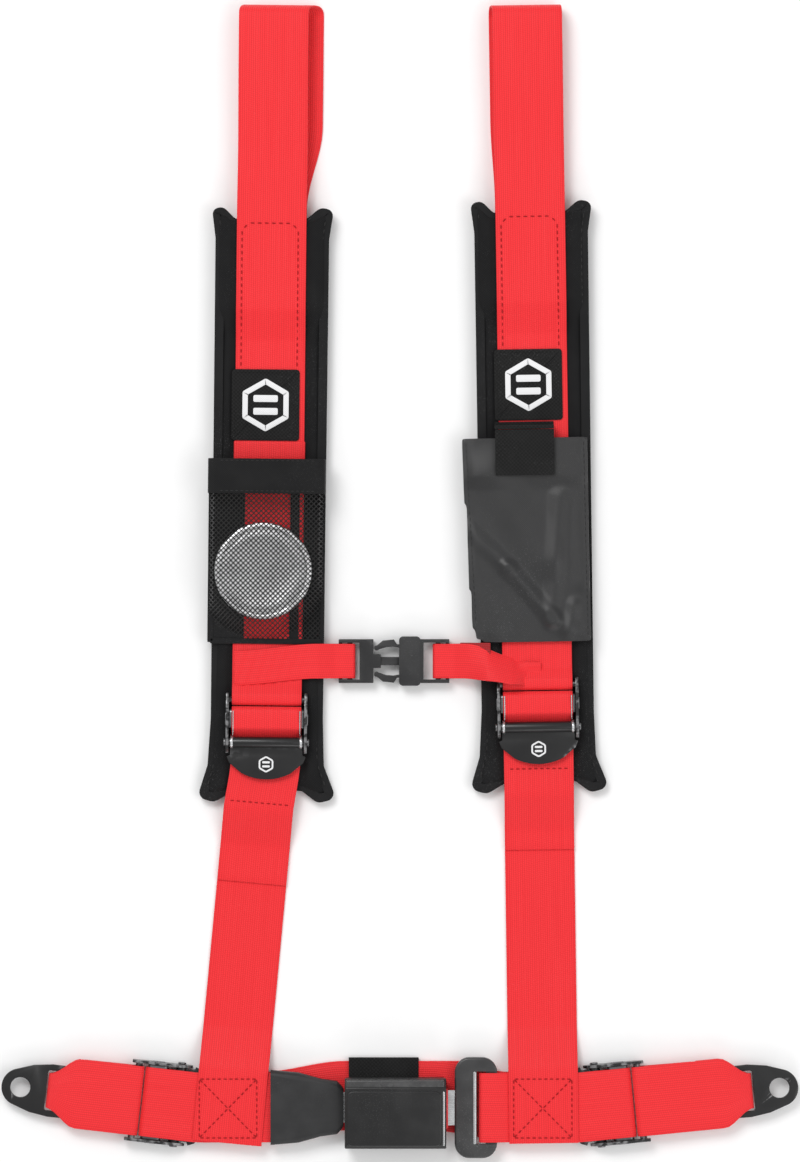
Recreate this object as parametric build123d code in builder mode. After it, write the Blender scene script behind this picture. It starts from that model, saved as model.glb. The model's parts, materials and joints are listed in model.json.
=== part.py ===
# Four-point racing harness laid out flat, face up: two padded shoulder belts, a lap belt with a
# push-button buckle, four cam-lock adjusters, a chest clip and two bolt-in brackets.
# Millimetres. +X is to the right of the laid-out harness, +Y towards the shoulder ends, +Z up.
import os
from math import cos, radians, sin

from build123d import *

os.makedirs("parts", exist_ok=True)

# Webbing
WEB_WIDTH = 50.8
WEB_THICK = 1.4
CLEAR = 0.3
STITCH = 0.1
LAYER = WEB_THICK + CLEAR
FLOOR_LAYER = 0.8
TAIL_Z = 1.8
TAIL_RISE = 8.0
LAP_Z = 11.1
BELT_Z = LAP_Z + WEB_THICK + STITCH

# Shoulder pads
PAD_THICK = 9.0
PAD_SKIN = 1.2
BACK_HUMP = 6.2
STRAP_Z = PAD_THICK + CLEAR + WEB_THICK / 2
SHOULDER_TOP = 420.95
LOOP_HEIGHT = 19.0
SLIDER_DROP = 36.0
SLIDER_LOW = 2.0
SLIDER_THICK = 2.0

# Cam-lock adjuster, measured from the middle of its roll bar
ROLL_HALF = 7.5
ROLL_RADIUS = 3.0
WRAP_RADIUS = ROLL_RADIUS + CLEAR + WEB_THICK / 2
SIDE_INNER = 27.6
SIDE_THICK = 2.0
FIXED_BAR_V = 14.0
FIXED_BAR_RADIUS = 2.5
CAM_V = -17.0
CAM_Z = 2.8
CAM_RADIUS = 4.0
LEVER_TIP = 44.0
BEND_BELOW = 56.0
BEND_INWARD = 32.0
SIDE_BELOW = 5.5
SIDE_ABOVE = 6.6

# Buckle, tongue and end brackets
BUCKLE_LENGTH = 74.0
BUCKLE_WIDTH = 51.0
BUCKLE_HEIGHT = 22.0
BUCKLE_X = -3.3
BUCKLE_Y = -388.0
BUCKLE_Z = 5.5
LAP_Y = -384.5
TONGUE_THICK = 3.0
BRACKET_THICK = 3.0
BOLT_HOLE = 14.6

BOLT_TO_TURN = 20.4
BRACKET_Z = LAP_Z - 3.0
FRAME_THICK = 2.0
PAWL_LOW = LAP_Z - 1.4
BUTTON_LOW = LAP_Z + 4.6
SPRING_Z = BUTTON_LOW + 4.6
BOOT_Z = 9.6

# Pockets and the tin
POCKET_Z = 11.0
POCKET_ROOF = 31.2
POCKET_TOP = 89.0
POCKET_END = -44.5
POCKET_HALF = 42.0
TIN_RADIUS = 35.4
POUCH_THICK = 7.0
POUCH_Z = 12.8

# Chest webbing and its clip
CHEST_WIDTH = 25.4
CHEST_THICK = 1.2
CHEST_Y = -58.5
CLIP_Z = 6.5
CHEST_BARS = {"left": -36.6, "right": 27.9}
CHEST_HEIGHTS = {"left": STRAP_Z + LAYER + 1.6, "right": 20.8}
CHEST_ENDS = {"left": -121.0, "right": 102.0}
CHEST_PAD_EDGE = {"left": -56.3, "right": 59.5}

# The two sides: where the shoulder belt crosses Y = 0, its lean, and what hangs from it
SIDES = {
    "left": dict(x=-96.3, lean=0.6, adjuster=-100.7, belt_shift=-4.5, belt_lean=5.4, pad_top=272.0,
                 pad_end=-161.0, outward=-1, tail_end=-221.0, lap_roll=-179.5, bolt_reach=98.5,
                 lap_lean=6.5,
                 tail_z=TAIL_Z, level_x=-40.0, tail_end_x=45.0),
    "right": dict(x=99.2, lean=-0.9, adjuster=-89.5, belt_shift=0.0, belt_lean=-0.8, pad_top=277.0,
                  pad_end=-154.0, outward=1, tail_end=-196.5, lap_roll=161.5, bolt_reach=116.2,
                  lap_lean=5.5,
                  tail_z=TAIL_Z + LAYER, level_x=22.0, tail_end_x=-30.0),
}


def export(builder, label):
    builder.part.label = label
    export_step(builder.part, f"parts/{label}.step")


def lean_plane(x, y, lean, z=0.0):
    """Plane whose y axis runs up a belt that leans, in degrees, over to +X at its top."""
    across = (cos(radians(lean)), -sin(radians(lean)), 0)
    return Plane(origin=(x, y, z), x_dir=across, z_dir=(0, 0, 1))


def along(frame):
    """Side-view plane of a belt: its x axis runs along the belt, its y axis is up."""
    return Plane(origin=frame.origin, x_dir=frame.y_dir, z_dir=frame.x_dir)


def ribbon(label, plane, points, radii, width=WEB_WIDTH, thick=WEB_THICK, cut=None):
    """Webbing that follows a side-view line, the same width all along."""
    with BuildPart() as belt:
        with BuildSketch(plane):
            with BuildLine():
                FilletPolyline(*points, radius=radii)
            trace(line_width=thick)
        extrude(amount=width / 2, both=True)
        if cut is not None:
            add(cut, mode=Mode.SUBTRACT)
    export(belt, label)


def shoulder_frame(side):
    return lean_plane(side["x"], 0, side["lean"])


def adjuster_frame(side):
    """Frame of the upper adjuster, with its origin on the roll bar, in line with the pad."""
    frame = shoulder_frame(side)
    origin = frame.from_local_coords((0, side["adjuster"], 0))
    return Plane(origin=origin, x_dir=frame.x_dir, z_dir=(0, 0, 1))


def belt_frame(side):
    """Frame of the lower belt below its adjuster, where it turns to lean towards the lap belt."""
    seat = adjuster_frame(side)
    start = seat.from_local_coords((side["belt_shift"], -BEND_BELOW, 0))
    return lean_plane(start.X, start.Y, side["belt_lean"])


def pad(name, side):
    """Padded sleeve: a stitched shell with flared corners, a flat back sheet and a foam core."""
    frame = shoulder_frame(side)
    top = side["pad_top"]
    end = side["pad_end"]
    outline = [
        (-42.5, top - 2), (-36, top), (-27, top - 9), (25, top - 9), (36, top), (44, top - 2),
        (41, top - 22), (40, end + 60), (41, end + 26), (50, end + 3), (38, end), (26, end + 9),
        (-26, end + 7), (-38, end), (-49, end + 3), (-42, end + 26), (-40, end + 60),
        (-40, top - 22),
    ]
    profile = [
        (end - 5, 0), (top - 90, 0), (top - 70, BACK_HUMP), (top + 5, BACK_HUMP),
        (top + 5, BACK_HUMP + PAD_THICK), (top - 70, BACK_HUMP + PAD_THICK),
        (top - 90, PAD_THICK), (end - 5, PAD_THICK),
    ]
    foam_low = PAD_SKIN + STITCH
    foam_high = PAD_THICK - PAD_SKIN - STITCH
    foam_profile = [
        (end + 14, foam_low), (top - 90, foam_low), (top - 70, BACK_HUMP + foam_low),
        (top - 14, BACK_HUMP + foam_low), (top - 14, BACK_HUMP + foam_high),
        (top - 70, BACK_HUMP + foam_high), (top - 90, foam_high), (end + 14, foam_high),
    ]
    with BuildPart() as foam:
        with BuildSketch(along(frame)):
            Polygon(*foam_profile, align=None)
        extrude(amount=37.0, both=True)
    hollow_profile = [
        (end + 13.5, PAD_SKIN), (top - 90, PAD_SKIN), (top - 70, BACK_HUMP + PAD_SKIN),
        (top - 13.5, BACK_HUMP + PAD_SKIN), (top - 13.5, BACK_HUMP + PAD_THICK - PAD_SKIN),
        (top - 70, BACK_HUMP + PAD_THICK - PAD_SKIN), (top - 90, PAD_THICK - PAD_SKIN),
        (end + 13.5, PAD_THICK - PAD_SKIN),
    ]
    with BuildPart() as cover:
        with BuildSketch(frame):
            Polygon(*outline, align=None)
        extrude(amount=BACK_HUMP + PAD_THICK)
        with BuildSketch(along(frame)):
            Polygon(*profile, align=None)
        extrude(amount=70, both=True, mode=Mode.INTERSECT)
        with BuildSketch(along(frame)):
            Polygon(*hollow_profile, align=None)
        extrude(amount=37.5, both=True, mode=Mode.SUBTRACT)
        back = [(end - 5, -1), (top - 90, -1), (top - 70, BACK_HUMP - 1), (top + 5, BACK_HUMP - 1),
                (top + 5, BACK_HUMP + PAD_SKIN), (top - 70, BACK_HUMP + PAD_SKIN),
                (top - 90, PAD_SKIN), (end - 5, PAD_SKIN)]
        with BuildSketch(along(frame)):
            Polygon(*back, align=None)
        extrude(amount=37.5, both=True, mode=Mode.SUBTRACT)
    sheet = [(end + 13.5, 0), (top - 90, 0), (top - 70, BACK_HUMP), (top - 13.5, BACK_HUMP),
             (top - 13.5, BACK_HUMP + PAD_SKIN), (top - 70, BACK_HUMP + PAD_SKIN),
             (top - 90, PAD_SKIN), (end + 13.5, PAD_SKIN)]
    with BuildPart() as backing:
        with BuildSketch(along(frame)):
            Polygon(*sheet, align=None)
        extrude(amount=37.2, both=True)
    export(cover, f"pad_cover_{name}")
    export(backing, f"pad_backing_{name}")
    export(foam, f"pad_foam_{name}")


def shoulder_belt(name, side):
    """Upper webbing: from its slider under the pad, round the bar loop, down the pad, and
    round the fixed bar of the adjuster, with both ends sewn back underneath."""
    frame = shoulder_frame(side)
    top = side["pad_top"]
    bar = side["adjuster"] + FIXED_BAR_V
    bar_z = fixed_bar_height()
    slide = top - SLIDER_DROP
    weave_z = SLIDER_LOW + SLIDER_THICK + CLEAR + WEB_THICK / 2
    points = [
        (slide - 26, FLOOR_LAYER), (slide - 11, FLOOR_LAYER), (slide - 4.5, weave_z),
        (slide + 4.5, weave_z), (slide + 11, FLOOR_LAYER), (SHOULDER_TOP - 0.7, FLOOR_LAYER),
        (SHOULDER_TOP - 0.7, LOOP_HEIGHT), (top + 12, STRAP_Z + BACK_HUMP), (top - 74, STRAP_Z + BACK_HUMP),
        (top - 96, STRAP_Z), (bar + 40, STRAP_Z), (bar + 33, STRAP_Z + LAYER),
        (bar + 12, STRAP_Z + LAYER), (bar + 3.5, bar_z + FIXED_BAR_RADIUS + 1.0),
        (bar - FIXED_BAR_RADIUS - 1.0, bar_z + FIXED_BAR_RADIUS + 1.0),
        (bar - FIXED_BAR_RADIUS - 1.0, STRAP_Z), (bar + 29, STRAP_Z),
    ]
    radii = [2.0, 2.0, 2.0, 2.0, 7.0, 7.0, 30.0, 12.0, 12.0, 8.0, 8.0, 3.0, 2.5, 3.4, 3.4]
    ribbon(f"shoulder_belt_{name}", along(frame), points, radii)


def fixed_bar_height():
    """Height of the fixed bar: the belt's two layers pass above and below it."""
    return STRAP_Z + FIXED_BAR_RADIUS + 1.0


def roll_height():
    """Height of a shoulder adjuster's roll bar, with its side plates just above the pad."""
    return PAD_THICK + CLEAR + SIDE_BELOW


def bar_slider(name, side):
    """Three-bar slide that locks the loop's end where it lies under the top of the pad."""
    frame = shoulder_frame(side)
    centre_v = side["pad_top"] - SLIDER_DROP
    plane = Plane(origin=frame.from_local_coords((0, centre_v, 0.0)), x_dir=frame.x_dir,
                  z_dir=(0, 0, 1))
    with BuildPart() as slider:
        with BuildSketch(plane.offset(SLIDER_LOW)):
            RectangleRounded(62, 34, 4)
            with GridLocations(0, 15, 1, 2):
                RectangleRounded(52.4, 7.5, 2, mode=Mode.SUBTRACT)
        extrude(amount=SLIDER_THICK)
        fillet(slider.edges().filter_by(Axis.Z, reverse=True).group_by(Axis.Z)[-1], 0.5)
    export(slider, f"bar_slider_{name}")


def adjuster(name, plane):
    """Cam-lock adjuster on a plane at its roll bar: x across, y towards the fixed bar."""
    side_view = Plane(origin=plane.origin, x_dir=plane.y_dir, z_dir=plane.x_dir)
    plate = [
        (FIXED_BAR_V + 5, -SIDE_BELOW + 0.4), (FIXED_BAR_V + 5, 2.4), (8, SIDE_ABOVE - 1),
        (-12, SIDE_ABOVE), (-22, SIDE_ABOVE), (-25.5, 2.0), (-22, -2.0), (-12, -SIDE_BELOW),
    ]
    bar_rise = fixed_bar_height() - roll_height()
    with BuildPart() as frame:
        for edge in (-SIDE_INNER - SIDE_THICK, SIDE_INNER):
            with BuildSketch(side_view.offset(edge)):
                outline = Polygon(*plate, align=None)
                fillet(outline.vertices(), 1.5)
                with Locations((CAM_V, CAM_Z)):
                    Circle(1.75, mode=Mode.SUBTRACT)
                with Locations((0, 0)):
                    SlotOverall(2 * ROLL_HALF - 3.4, 3.4, mode=Mode.SUBTRACT)
            extrude(amount=SIDE_THICK)
        with BuildSketch(side_view):
            with Locations((FIXED_BAR_V, bar_rise)):
                Circle(FIXED_BAR_RADIUS)
        extrude(amount=SIDE_INNER + 0.5, both=True)
    export(frame, f"adjuster_frame_{name}")

    with BuildPart() as roll:
        with BuildSketch(side_view):
            SlotOverall(2 * ROLL_HALF, 2 * ROLL_RADIUS)
        extrude(amount=SIDE_INNER - CLEAR, both=True)
        with BuildSketch(side_view):
            SlotOverall(2 * ROLL_HALF - 6.0, 2.8)
        extrude(amount=SIDE_INNER + SIDE_THICK + 0.6, both=True)
    export(roll, f"roll_bar_{name}")

    with BuildPart() as lever:
        with BuildSketch(side_view):
            with Locations((CAM_V, CAM_Z)):
                Circle(CAM_RADIUS)
        extrude(amount=SIDE_INNER - 0.4, both=True)
        with BuildSketch(plane.offset(0.4)):
            with BuildLine():
                Polyline((26.4, CAM_V), (26.4, CAM_V - 9.5), (28.8, CAM_V - 10.5),
                         (27.0, CAM_V - 15.0), (18.0, CAM_V - 22.5))
                ThreePointArc((18.0, CAM_V - 22.5), (0, -LEVER_TIP), (-18.0, CAM_V - 22.5))
                Polyline((-18.0, CAM_V - 22.5), (-27.0, CAM_V - 15.0), (-28.8, CAM_V - 10.5),
                         (-26.4, CAM_V - 9.5), (-26.4, CAM_V), (26.4, CAM_V))
            make_face()
        extrude(amount=2.2)
        with BuildSketch(side_view):
            with Locations((CAM_V, CAM_Z)):
                Circle(1.8)
        extrude(amount=40, both=True, mode=Mode.SUBTRACT)
    export(lever, f"cam_lever_{name}")

    with BuildPart() as pin:
        with BuildSketch(side_view):
            with Locations((CAM_V, CAM_Z)):
                Circle(1.72)
        extrude(amount=SIDE_INNER + SIDE_THICK + 0.3, both=True)
        for edge, depth in ((SIDE_INNER + SIDE_THICK + 0.1, 1.4), (-SIDE_INNER - SIDE_THICK - 0.1, -1.4)):
            with BuildSketch(side_view.offset(edge)):
                with Locations((CAM_V, CAM_Z)):
                    Circle(2.9)
            extrude(amount=depth)
    export(pin, f"cam_pin_{name}")


def lower_belt(name, side):
    """Lower belt: from the box stitching up to the roll bar, over it and back as a hemmed tail."""
    roll_z = roll_height()
    low = roll_z - WRAP_RADIUS
    high = roll_z + WRAP_RADIUS
    under = low + LAYER
    turn = ROLL_HALF - ROLL_RADIUS + WRAP_RADIUS
    frame = belt_frame(side)
    run = (frame.origin.Y - LAP_Y) / cos(radians(side["belt_lean"]))
    hem = side["tail_end"] - frame.origin.Y
    with BuildPart() as belt:
        with BuildSketch(along(adjuster_frame(side))):
            with BuildLine():
                FilletPolyline((-BEND_BELOW - 4, low), (turn, low), (turn, high), (-6.5, high),
                               (-13, under), (-BEND_BELOW - 4, under),
                               radius=[3.95, 3.95, 2.5, 2.5])
            trace(line_width=WEB_THICK)
        extrude(amount=WEB_WIDTH / 2, both=True)
        with BuildSketch(along(frame)):
            with BuildLine():
                FilletPolyline((-run - 26, BELT_Z), (-run + 30, BELT_Z), (-run + 56, 1.0),
                               (-36, 1.0), (-10, low), (4, low), radius=14.0)
            trace(line_width=WEB_THICK)
            with BuildLine():
                FilletPolyline((4, under), (-10.5, under), (-36.5, 1.0 + LAYER),
                               (hem, 1.0 + LAYER), radius=14.0)
            trace(line_width=WEB_THICK)
        extrude(amount=WEB_WIDTH / 2, both=True)
    export(belt, f"lower_belt_{name}")


def lap_roll_height():
    return LAP_Z - WRAP_RADIUS


def outward_direction(side, lean):
    return Vector(side["outward"] * cos(radians(lean)), sin(radians(lean)), 0)


def lap_origin(side):
    """Middle of a lap adjuster's roll bar in plan: the leaning part starts at BEND_INWARD."""
    return side["lap_roll"], LAP_Y + BEND_INWARD * sin(radians(side["lap_lean"]))


def lap_adjuster_plane(side):
    """Lap adjusters lie lever down: their y axis runs out to the bracket and z points down."""
    outward = outward_direction(side, side["lap_lean"])
    origin = (*lap_origin(side), lap_roll_height())
    return Plane(origin=origin, x_dir=outward.cross(Vector(0, 0, -1)), z_dir=(0, 0, -1))


def lap_side_view(side):
    """Side-view plane of the lap adjuster: its x axis runs out to the bracket."""
    outward = outward_direction(side, side["lap_lean"])
    return Plane(origin=(*lap_origin(side), 0), x_dir=outward,
                 z_dir=outward.cross(Vector(0, 0, 1)))


def level_side_view(side):
    """Side-view plane of the level part of a lap belt, from the roll bar's place along X."""
    outward = Vector(side["outward"], 0, 0)
    return Plane(origin=(side["lap_roll"], LAP_Y, 0), x_dir=outward,
                 z_dir=outward.cross(Vector(0, 0, 1)))


def lap_reach(side, x):
    """Where a place along X lies on a lap belt's own axis, measured from its roll bar."""
    return side["outward"] * (x - side["lap_roll"])


def inner_lap_belt(name, side, inner_end, inner_radii):
    """Webbing from the buckle or the tongue, under the box stitching, round the roll bar, and
    back along the floor as a tail that ends in the keeper behind the buckle."""
    turn = ROLL_HALF - ROLL_RADIUS + WRAP_RADIUS
    low = lap_roll_height() - WRAP_RADIUS
    under = LAP_Z - LAYER
    tail_z = side["tail_z"]
    plane = lap_side_view(side)
    start = plane.from_local_coords((-70, 0, 0))
    bend = plane.from_local_coords((-90, 0, 0))
    with BuildPart() as belt:
        with BuildSketch(plane):
            with BuildLine():
                FilletPolyline((-BEND_INWARD - 8, LAP_Z), (turn, LAP_Z), (turn, low), (-6.5, low),
                               (-13, under), (-50, under), (-64, tail_z), (-74, tail_z),
                               radius=[3.95, 3.95, 2.5, 2.5, 5.0, 5.0])
            trace(line_width=WEB_THICK)
        extrude(amount=WEB_WIDTH / 2, both=True)
        with BuildSketch(level_side_view(side)):
            with BuildLine():
                FilletPolyline(*inner_end, (-BEND_INWARD + 4, LAP_Z), radius=inner_radii)
            trace(line_width=WEB_THICK)
        extrude(amount=WEB_WIDTH / 2, both=True)
        with BuildSketch(Plane.XY.offset(tail_z - WEB_THICK / 2)):
            with BuildLine():
                FilletPolyline((start.X, start.Y), (bend.X, bend.Y), (side["level_x"], LAP_Y + TAIL_RISE),
                               (side["tail_end_x"], LAP_Y + TAIL_RISE), radius=40)
            trace(line_width=WEB_WIDTH)
        extrude(amount=WEB_THICK)
        if side["outward"] < 0:
            with BuildSketch(Plane.XY.offset(TAIL_Z + 2.0)):
                for flip in (1, -1):
                    Polygon((-94, LAP_Y + flip * 27), (-94, LAP_Y + flip * 25.3),
                            (-64, LAP_Y + flip * 12.6), (-38, LAP_Y + flip * 12.6),
                            (-38, LAP_Y + flip * 27), align=None)
            extrude(amount=20, mode=Mode.SUBTRACT)
    export(belt, f"inner_lap_belt_{name}")


def outer_lap_belt(name, side):
    """Short webbing sewn round the adjuster's fixed bar at one end and the bracket at the other."""
    plane = lap_side_view(side)
    reach = side["bolt_reach"] - BOLT_TO_TURN
    bar_z = lap_roll_height() - fixed_bar_height() + roll_height()
    wrap = FIXED_BAR_RADIUS + 1.0
    loop = BRACKET_THICK / 2 + CLEAR + 0.8
    points = [
        (FIXED_BAR_V + 40, bar_z + 0.7), (FIXED_BAR_V + 24, bar_z - 0.9),
        (FIXED_BAR_V + 10, bar_z - wrap), (FIXED_BAR_V - wrap, bar_z - wrap),
        (FIXED_BAR_V - wrap, bar_z + wrap), (FIXED_BAR_V + 12, bar_z + wrap),
        (FIXED_BAR_V + 46, BRACKET_Z + loop), (reach, BRACKET_Z + loop),
        (reach, BRACKET_Z - loop), (FIXED_BAR_V + 43, BRACKET_Z - loop),
    ]
    radii = [8.0, 8.0, 3.4, 3.4, 8.0, 8.0, 2.5, 2.5]
    with BuildPart() as belt:
        with BuildSketch(plane):
            with BuildLine():
                FilletPolyline(*points, radius=radii)
            trace(line_width=WEB_THICK)
        extrude(amount=WEB_WIDTH / 2, both=True)
        with BuildSketch(Plane(origin=plane.origin, x_dir=plane.x_dir, z_dir=(0, 0, 1))):
            for flip in (1, -1):
                Polygon((reach - 20, flip * 25.6), (reach + 2, flip * 11.6),
                        (reach + 2, flip * 27), (reach - 20, flip * 27), align=None)
        extrude(amount=30, mode=Mode.SUBTRACT)
    export(belt, f"outer_lap_belt_{name}")


def end_bracket(name, side):
    """Flat bolt-in plate: one hole for a half-inch bolt and one cross bar for the webbing."""
    plane = lap_side_view(side)
    reach = side["bolt_reach"]
    top = Plane(origin=(plane.origin.X, plane.origin.Y, BRACKET_Z - BRACKET_THICK / 2),
                x_dir=plane.x_dir, z_dir=(0, 0, 1))
    with BuildPart() as plate:
        with BuildSketch(top):
            with BuildLine():
                Polyline((reach - 36, 19.0), (reach - 22, 19.2), (reach - 8, 17.2),
                         (reach + 5.5, 12.6))
                ThreePointArc((reach + 5.5, 12.6), (reach + 13.8, 0), (reach + 5.5, -12.6))
                Polyline((reach + 5.5, -12.6), (reach - 8, -17.2), (reach - 22, -19.2),
                         (reach - 36, -19.0), (reach - 36, 19.0))
            make_face()
            with Locations((reach, 0)):
                Circle(BOLT_HOLE / 2, mode=Mode.SUBTRACT)
            with Locations((reach - 24.2, 0)):
                RectangleRounded(10.6, 29.4, 2, mode=Mode.SUBTRACT)
        extrude(amount=BRACKET_THICK)
        fillet(plate.edges().filter_by(GeomType.CIRCLE).group_by(Axis.Z)[-1], 0.4)
    export(plate, f"end_bracket_{name}")


def patch(name, side, v):
    """Square badge sewn on the webbing above the pocket."""
    frame = shoulder_frame(side)
    with BuildPart() as badge:
        with BuildSketch(frame.offset(STRAP_Z + WEB_THICK / 2 + STITCH)):
            with Locations((-3.2, v)):
                RectangleRounded(49.5, 52.0, 3)
        extrude(amount=1.2)
        fillet(badge.edges().group_by(Axis.Z)[-1], 0.4)
    export(badge, f"patch_{name}")


def mesh_pocket():
    """Open-topped net pocket on the left pad, bulged by the round tin, with an elastic hem."""
    frame = shoulder_frame(SIDES["left"])
    shifted = Plane(origin=frame.from_local_coords((-1.5, 0, 0)), x_dir=frame.x_dir,
                    z_dir=(0, 0, 1))
    side_view = along(shifted)
    net = 0.8
    low = POCKET_Z
    with BuildPart() as pocket:
        with BuildSketch(side_view):
            Polygon((POCKET_END, low), (POCKET_TOP, low), (POCKET_TOP, POCKET_ROOF),
                    (POCKET_END + 14, POCKET_ROOF), (POCKET_END, low + 3), align=None)
        extrude(amount=POCKET_HALF, both=True)
        with BuildSketch(side_view):
            Polygon((POCKET_END + 1, low + net), (POCKET_TOP + 5, low + net),
                    (POCKET_TOP + 5, POCKET_ROOF - net), (POCKET_END + 14.5, POCKET_ROOF - net),
                    (POCKET_END + 1, low + 2.6), align=None)
        extrude(amount=POCKET_HALF - net, both=True, mode=Mode.SUBTRACT)
    export(pocket, "mesh_pocket")

    hem_height = POCKET_ROOF + 1.3 - low
    with BuildPart() as hem:
        with BuildSketch(Plane(origin=shifted.from_local_coords((0, POCKET_TOP, 0)),
                               x_dir=frame.x_dir, z_dir=-frame.y_dir)):
            with Locations((0, low + hem_height / 2)):
                RectangleRounded(2 * POCKET_HALF + 2.6, hem_height, 1.2)
            with Locations((0, low + hem_height / 2 - 1.0)):
                Rectangle(2 * POCKET_HALF + 0.4, hem_height, mode=Mode.SUBTRACT)
        extrude(amount=25)
    export(hem, "mesh_pocket_hem")


def tin():
    """Round tin carried in the net pocket: a cup and a push-on lid."""
    frame = shoulder_frame(SIDES["left"])
    centre = frame.from_local_coords((-3.4, 7.3, POCKET_Z + 1.1))
    base = Plane(origin=centre, x_dir=frame.x_dir, z_dir=(0, 0, 1))
    with BuildPart() as cup:
        with BuildSketch(base):
            Circle(TIN_RADIUS - 0.8)
        extrude(amount=17.0)
        fillet(cup.edges().group_by(Axis.Z)[0], 1.5)
        with BuildSketch(base.offset(0.6)):
            Circle(TIN_RADIUS - 1.4)
        extrude(amount=20, mode=Mode.SUBTRACT)
    export(cup, "tin_cup")

    with BuildPart() as lid:
        with BuildSketch(base.offset(9.5)):
            Circle(TIN_RADIUS)
        extrude(amount=8.4)
        fillet(lid.edges().group_by(Axis.Z)[-1], 1.2)
        with BuildSketch(base.offset(9.4)):
            Circle(TIN_RADIUS - 0.6)
        extrude(amount=7.8, mode=Mode.SUBTRACT)
    export(lid, "tin_lid")


def phone_pocket():
    """Flat coated pouch on the right pad, closed by a webbing tab with a hook pad."""
    frame = shoulder_frame(SIDES["right"])
    low = POUCH_Z
    with BuildPart() as pouch:
        with BuildSketch(frame.offset(low)):
            Polygon((-54, 106.5), (40, 106.5), (41.5, -44.5), (30, -45.5), (-30, -45.5),
                    (-44, -43.5), (-48.5, -30), align=None)
        extrude(amount=POUCH_THICK)
        with BuildSketch(frame.offset(low + 1.0)):
            Polygon((-50, 110), (38, 110), (38, -42), (-44, -42), align=None)
        extrude(amount=POUCH_THICK - 2.0, mode=Mode.SUBTRACT)
    export(pouch, "phone_pouch")

    tab_z = low + POUCH_THICK + CLEAR + 0.8
    with BuildPart() as hook_pad:
        with BuildSketch(frame.offset(low + POUCH_THICK + CLEAR)):
            with Locations((-6.8, 88)):
                RectangleRounded(34, 16, 1.5)
        extrude(amount=0.8)
    export(hook_pad, "pouch_hook_pad")

    offset_frame = Plane(origin=frame.from_local_coords((-6.8, 0, 0)), x_dir=frame.x_dir,
                         z_dir=(0, 0, 1))
    with BuildPart() as tab:
        with BuildSketch(along(offset_frame)):
            with Locations((94.0, tab_z + 0.7)):
                SlotOverall(33.4, 1.4)
        extrude(amount=21.5, both=True)
    export(tab, "pouch_tab")

    ribbon("pouch_tab_anchor", along(offset_frame),
           [(116.5, POCKET_Z + 0.7), (113.0, POCKET_Z + 0.7), (113.0, tab_z + 0.7), (111.0, tab_z + 0.7)],
           [1.2, 0.9], width=43.0)


def chest_belt(name, toward):
    """Narrow chest webbing: sewn end on the shoulder belt, other end round the clip's bar."""
    high = CHEST_HEIGHTS[name]
    wrap = 1.2 + CLEAR + CHEST_THICK / 2
    bar = CHEST_BARS[name]
    start = CHEST_ENDS[name]
    inner = bar + toward * 3.5
    pad_edge = CHEST_PAD_EDGE[name]
    points = [(start, high), (pad_edge - toward * 4, high), (bar - toward * 11, CLIP_Z + wrap),
              (inner, CLIP_Z + wrap), (inner, CLIP_Z - wrap), (pad_edge + toward * 4, CLIP_Z - wrap)]
    ribbon(f"chest_belt_{name}", Plane.XZ.offset(-CHEST_Y), points, [6.0, 6.0, 2.0, 2.0],
           width=CHEST_WIDTH, thick=CHEST_THICK)


def clip_box(x0, x1, half, low, high):
    """Box between two places along X, centred on the chest webbing."""
    with Locations(((x0 + x1) / 2, CHEST_Y, (low + high) / 2)):
        Box(x1 - x0, 2 * half, high - low)


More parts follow.
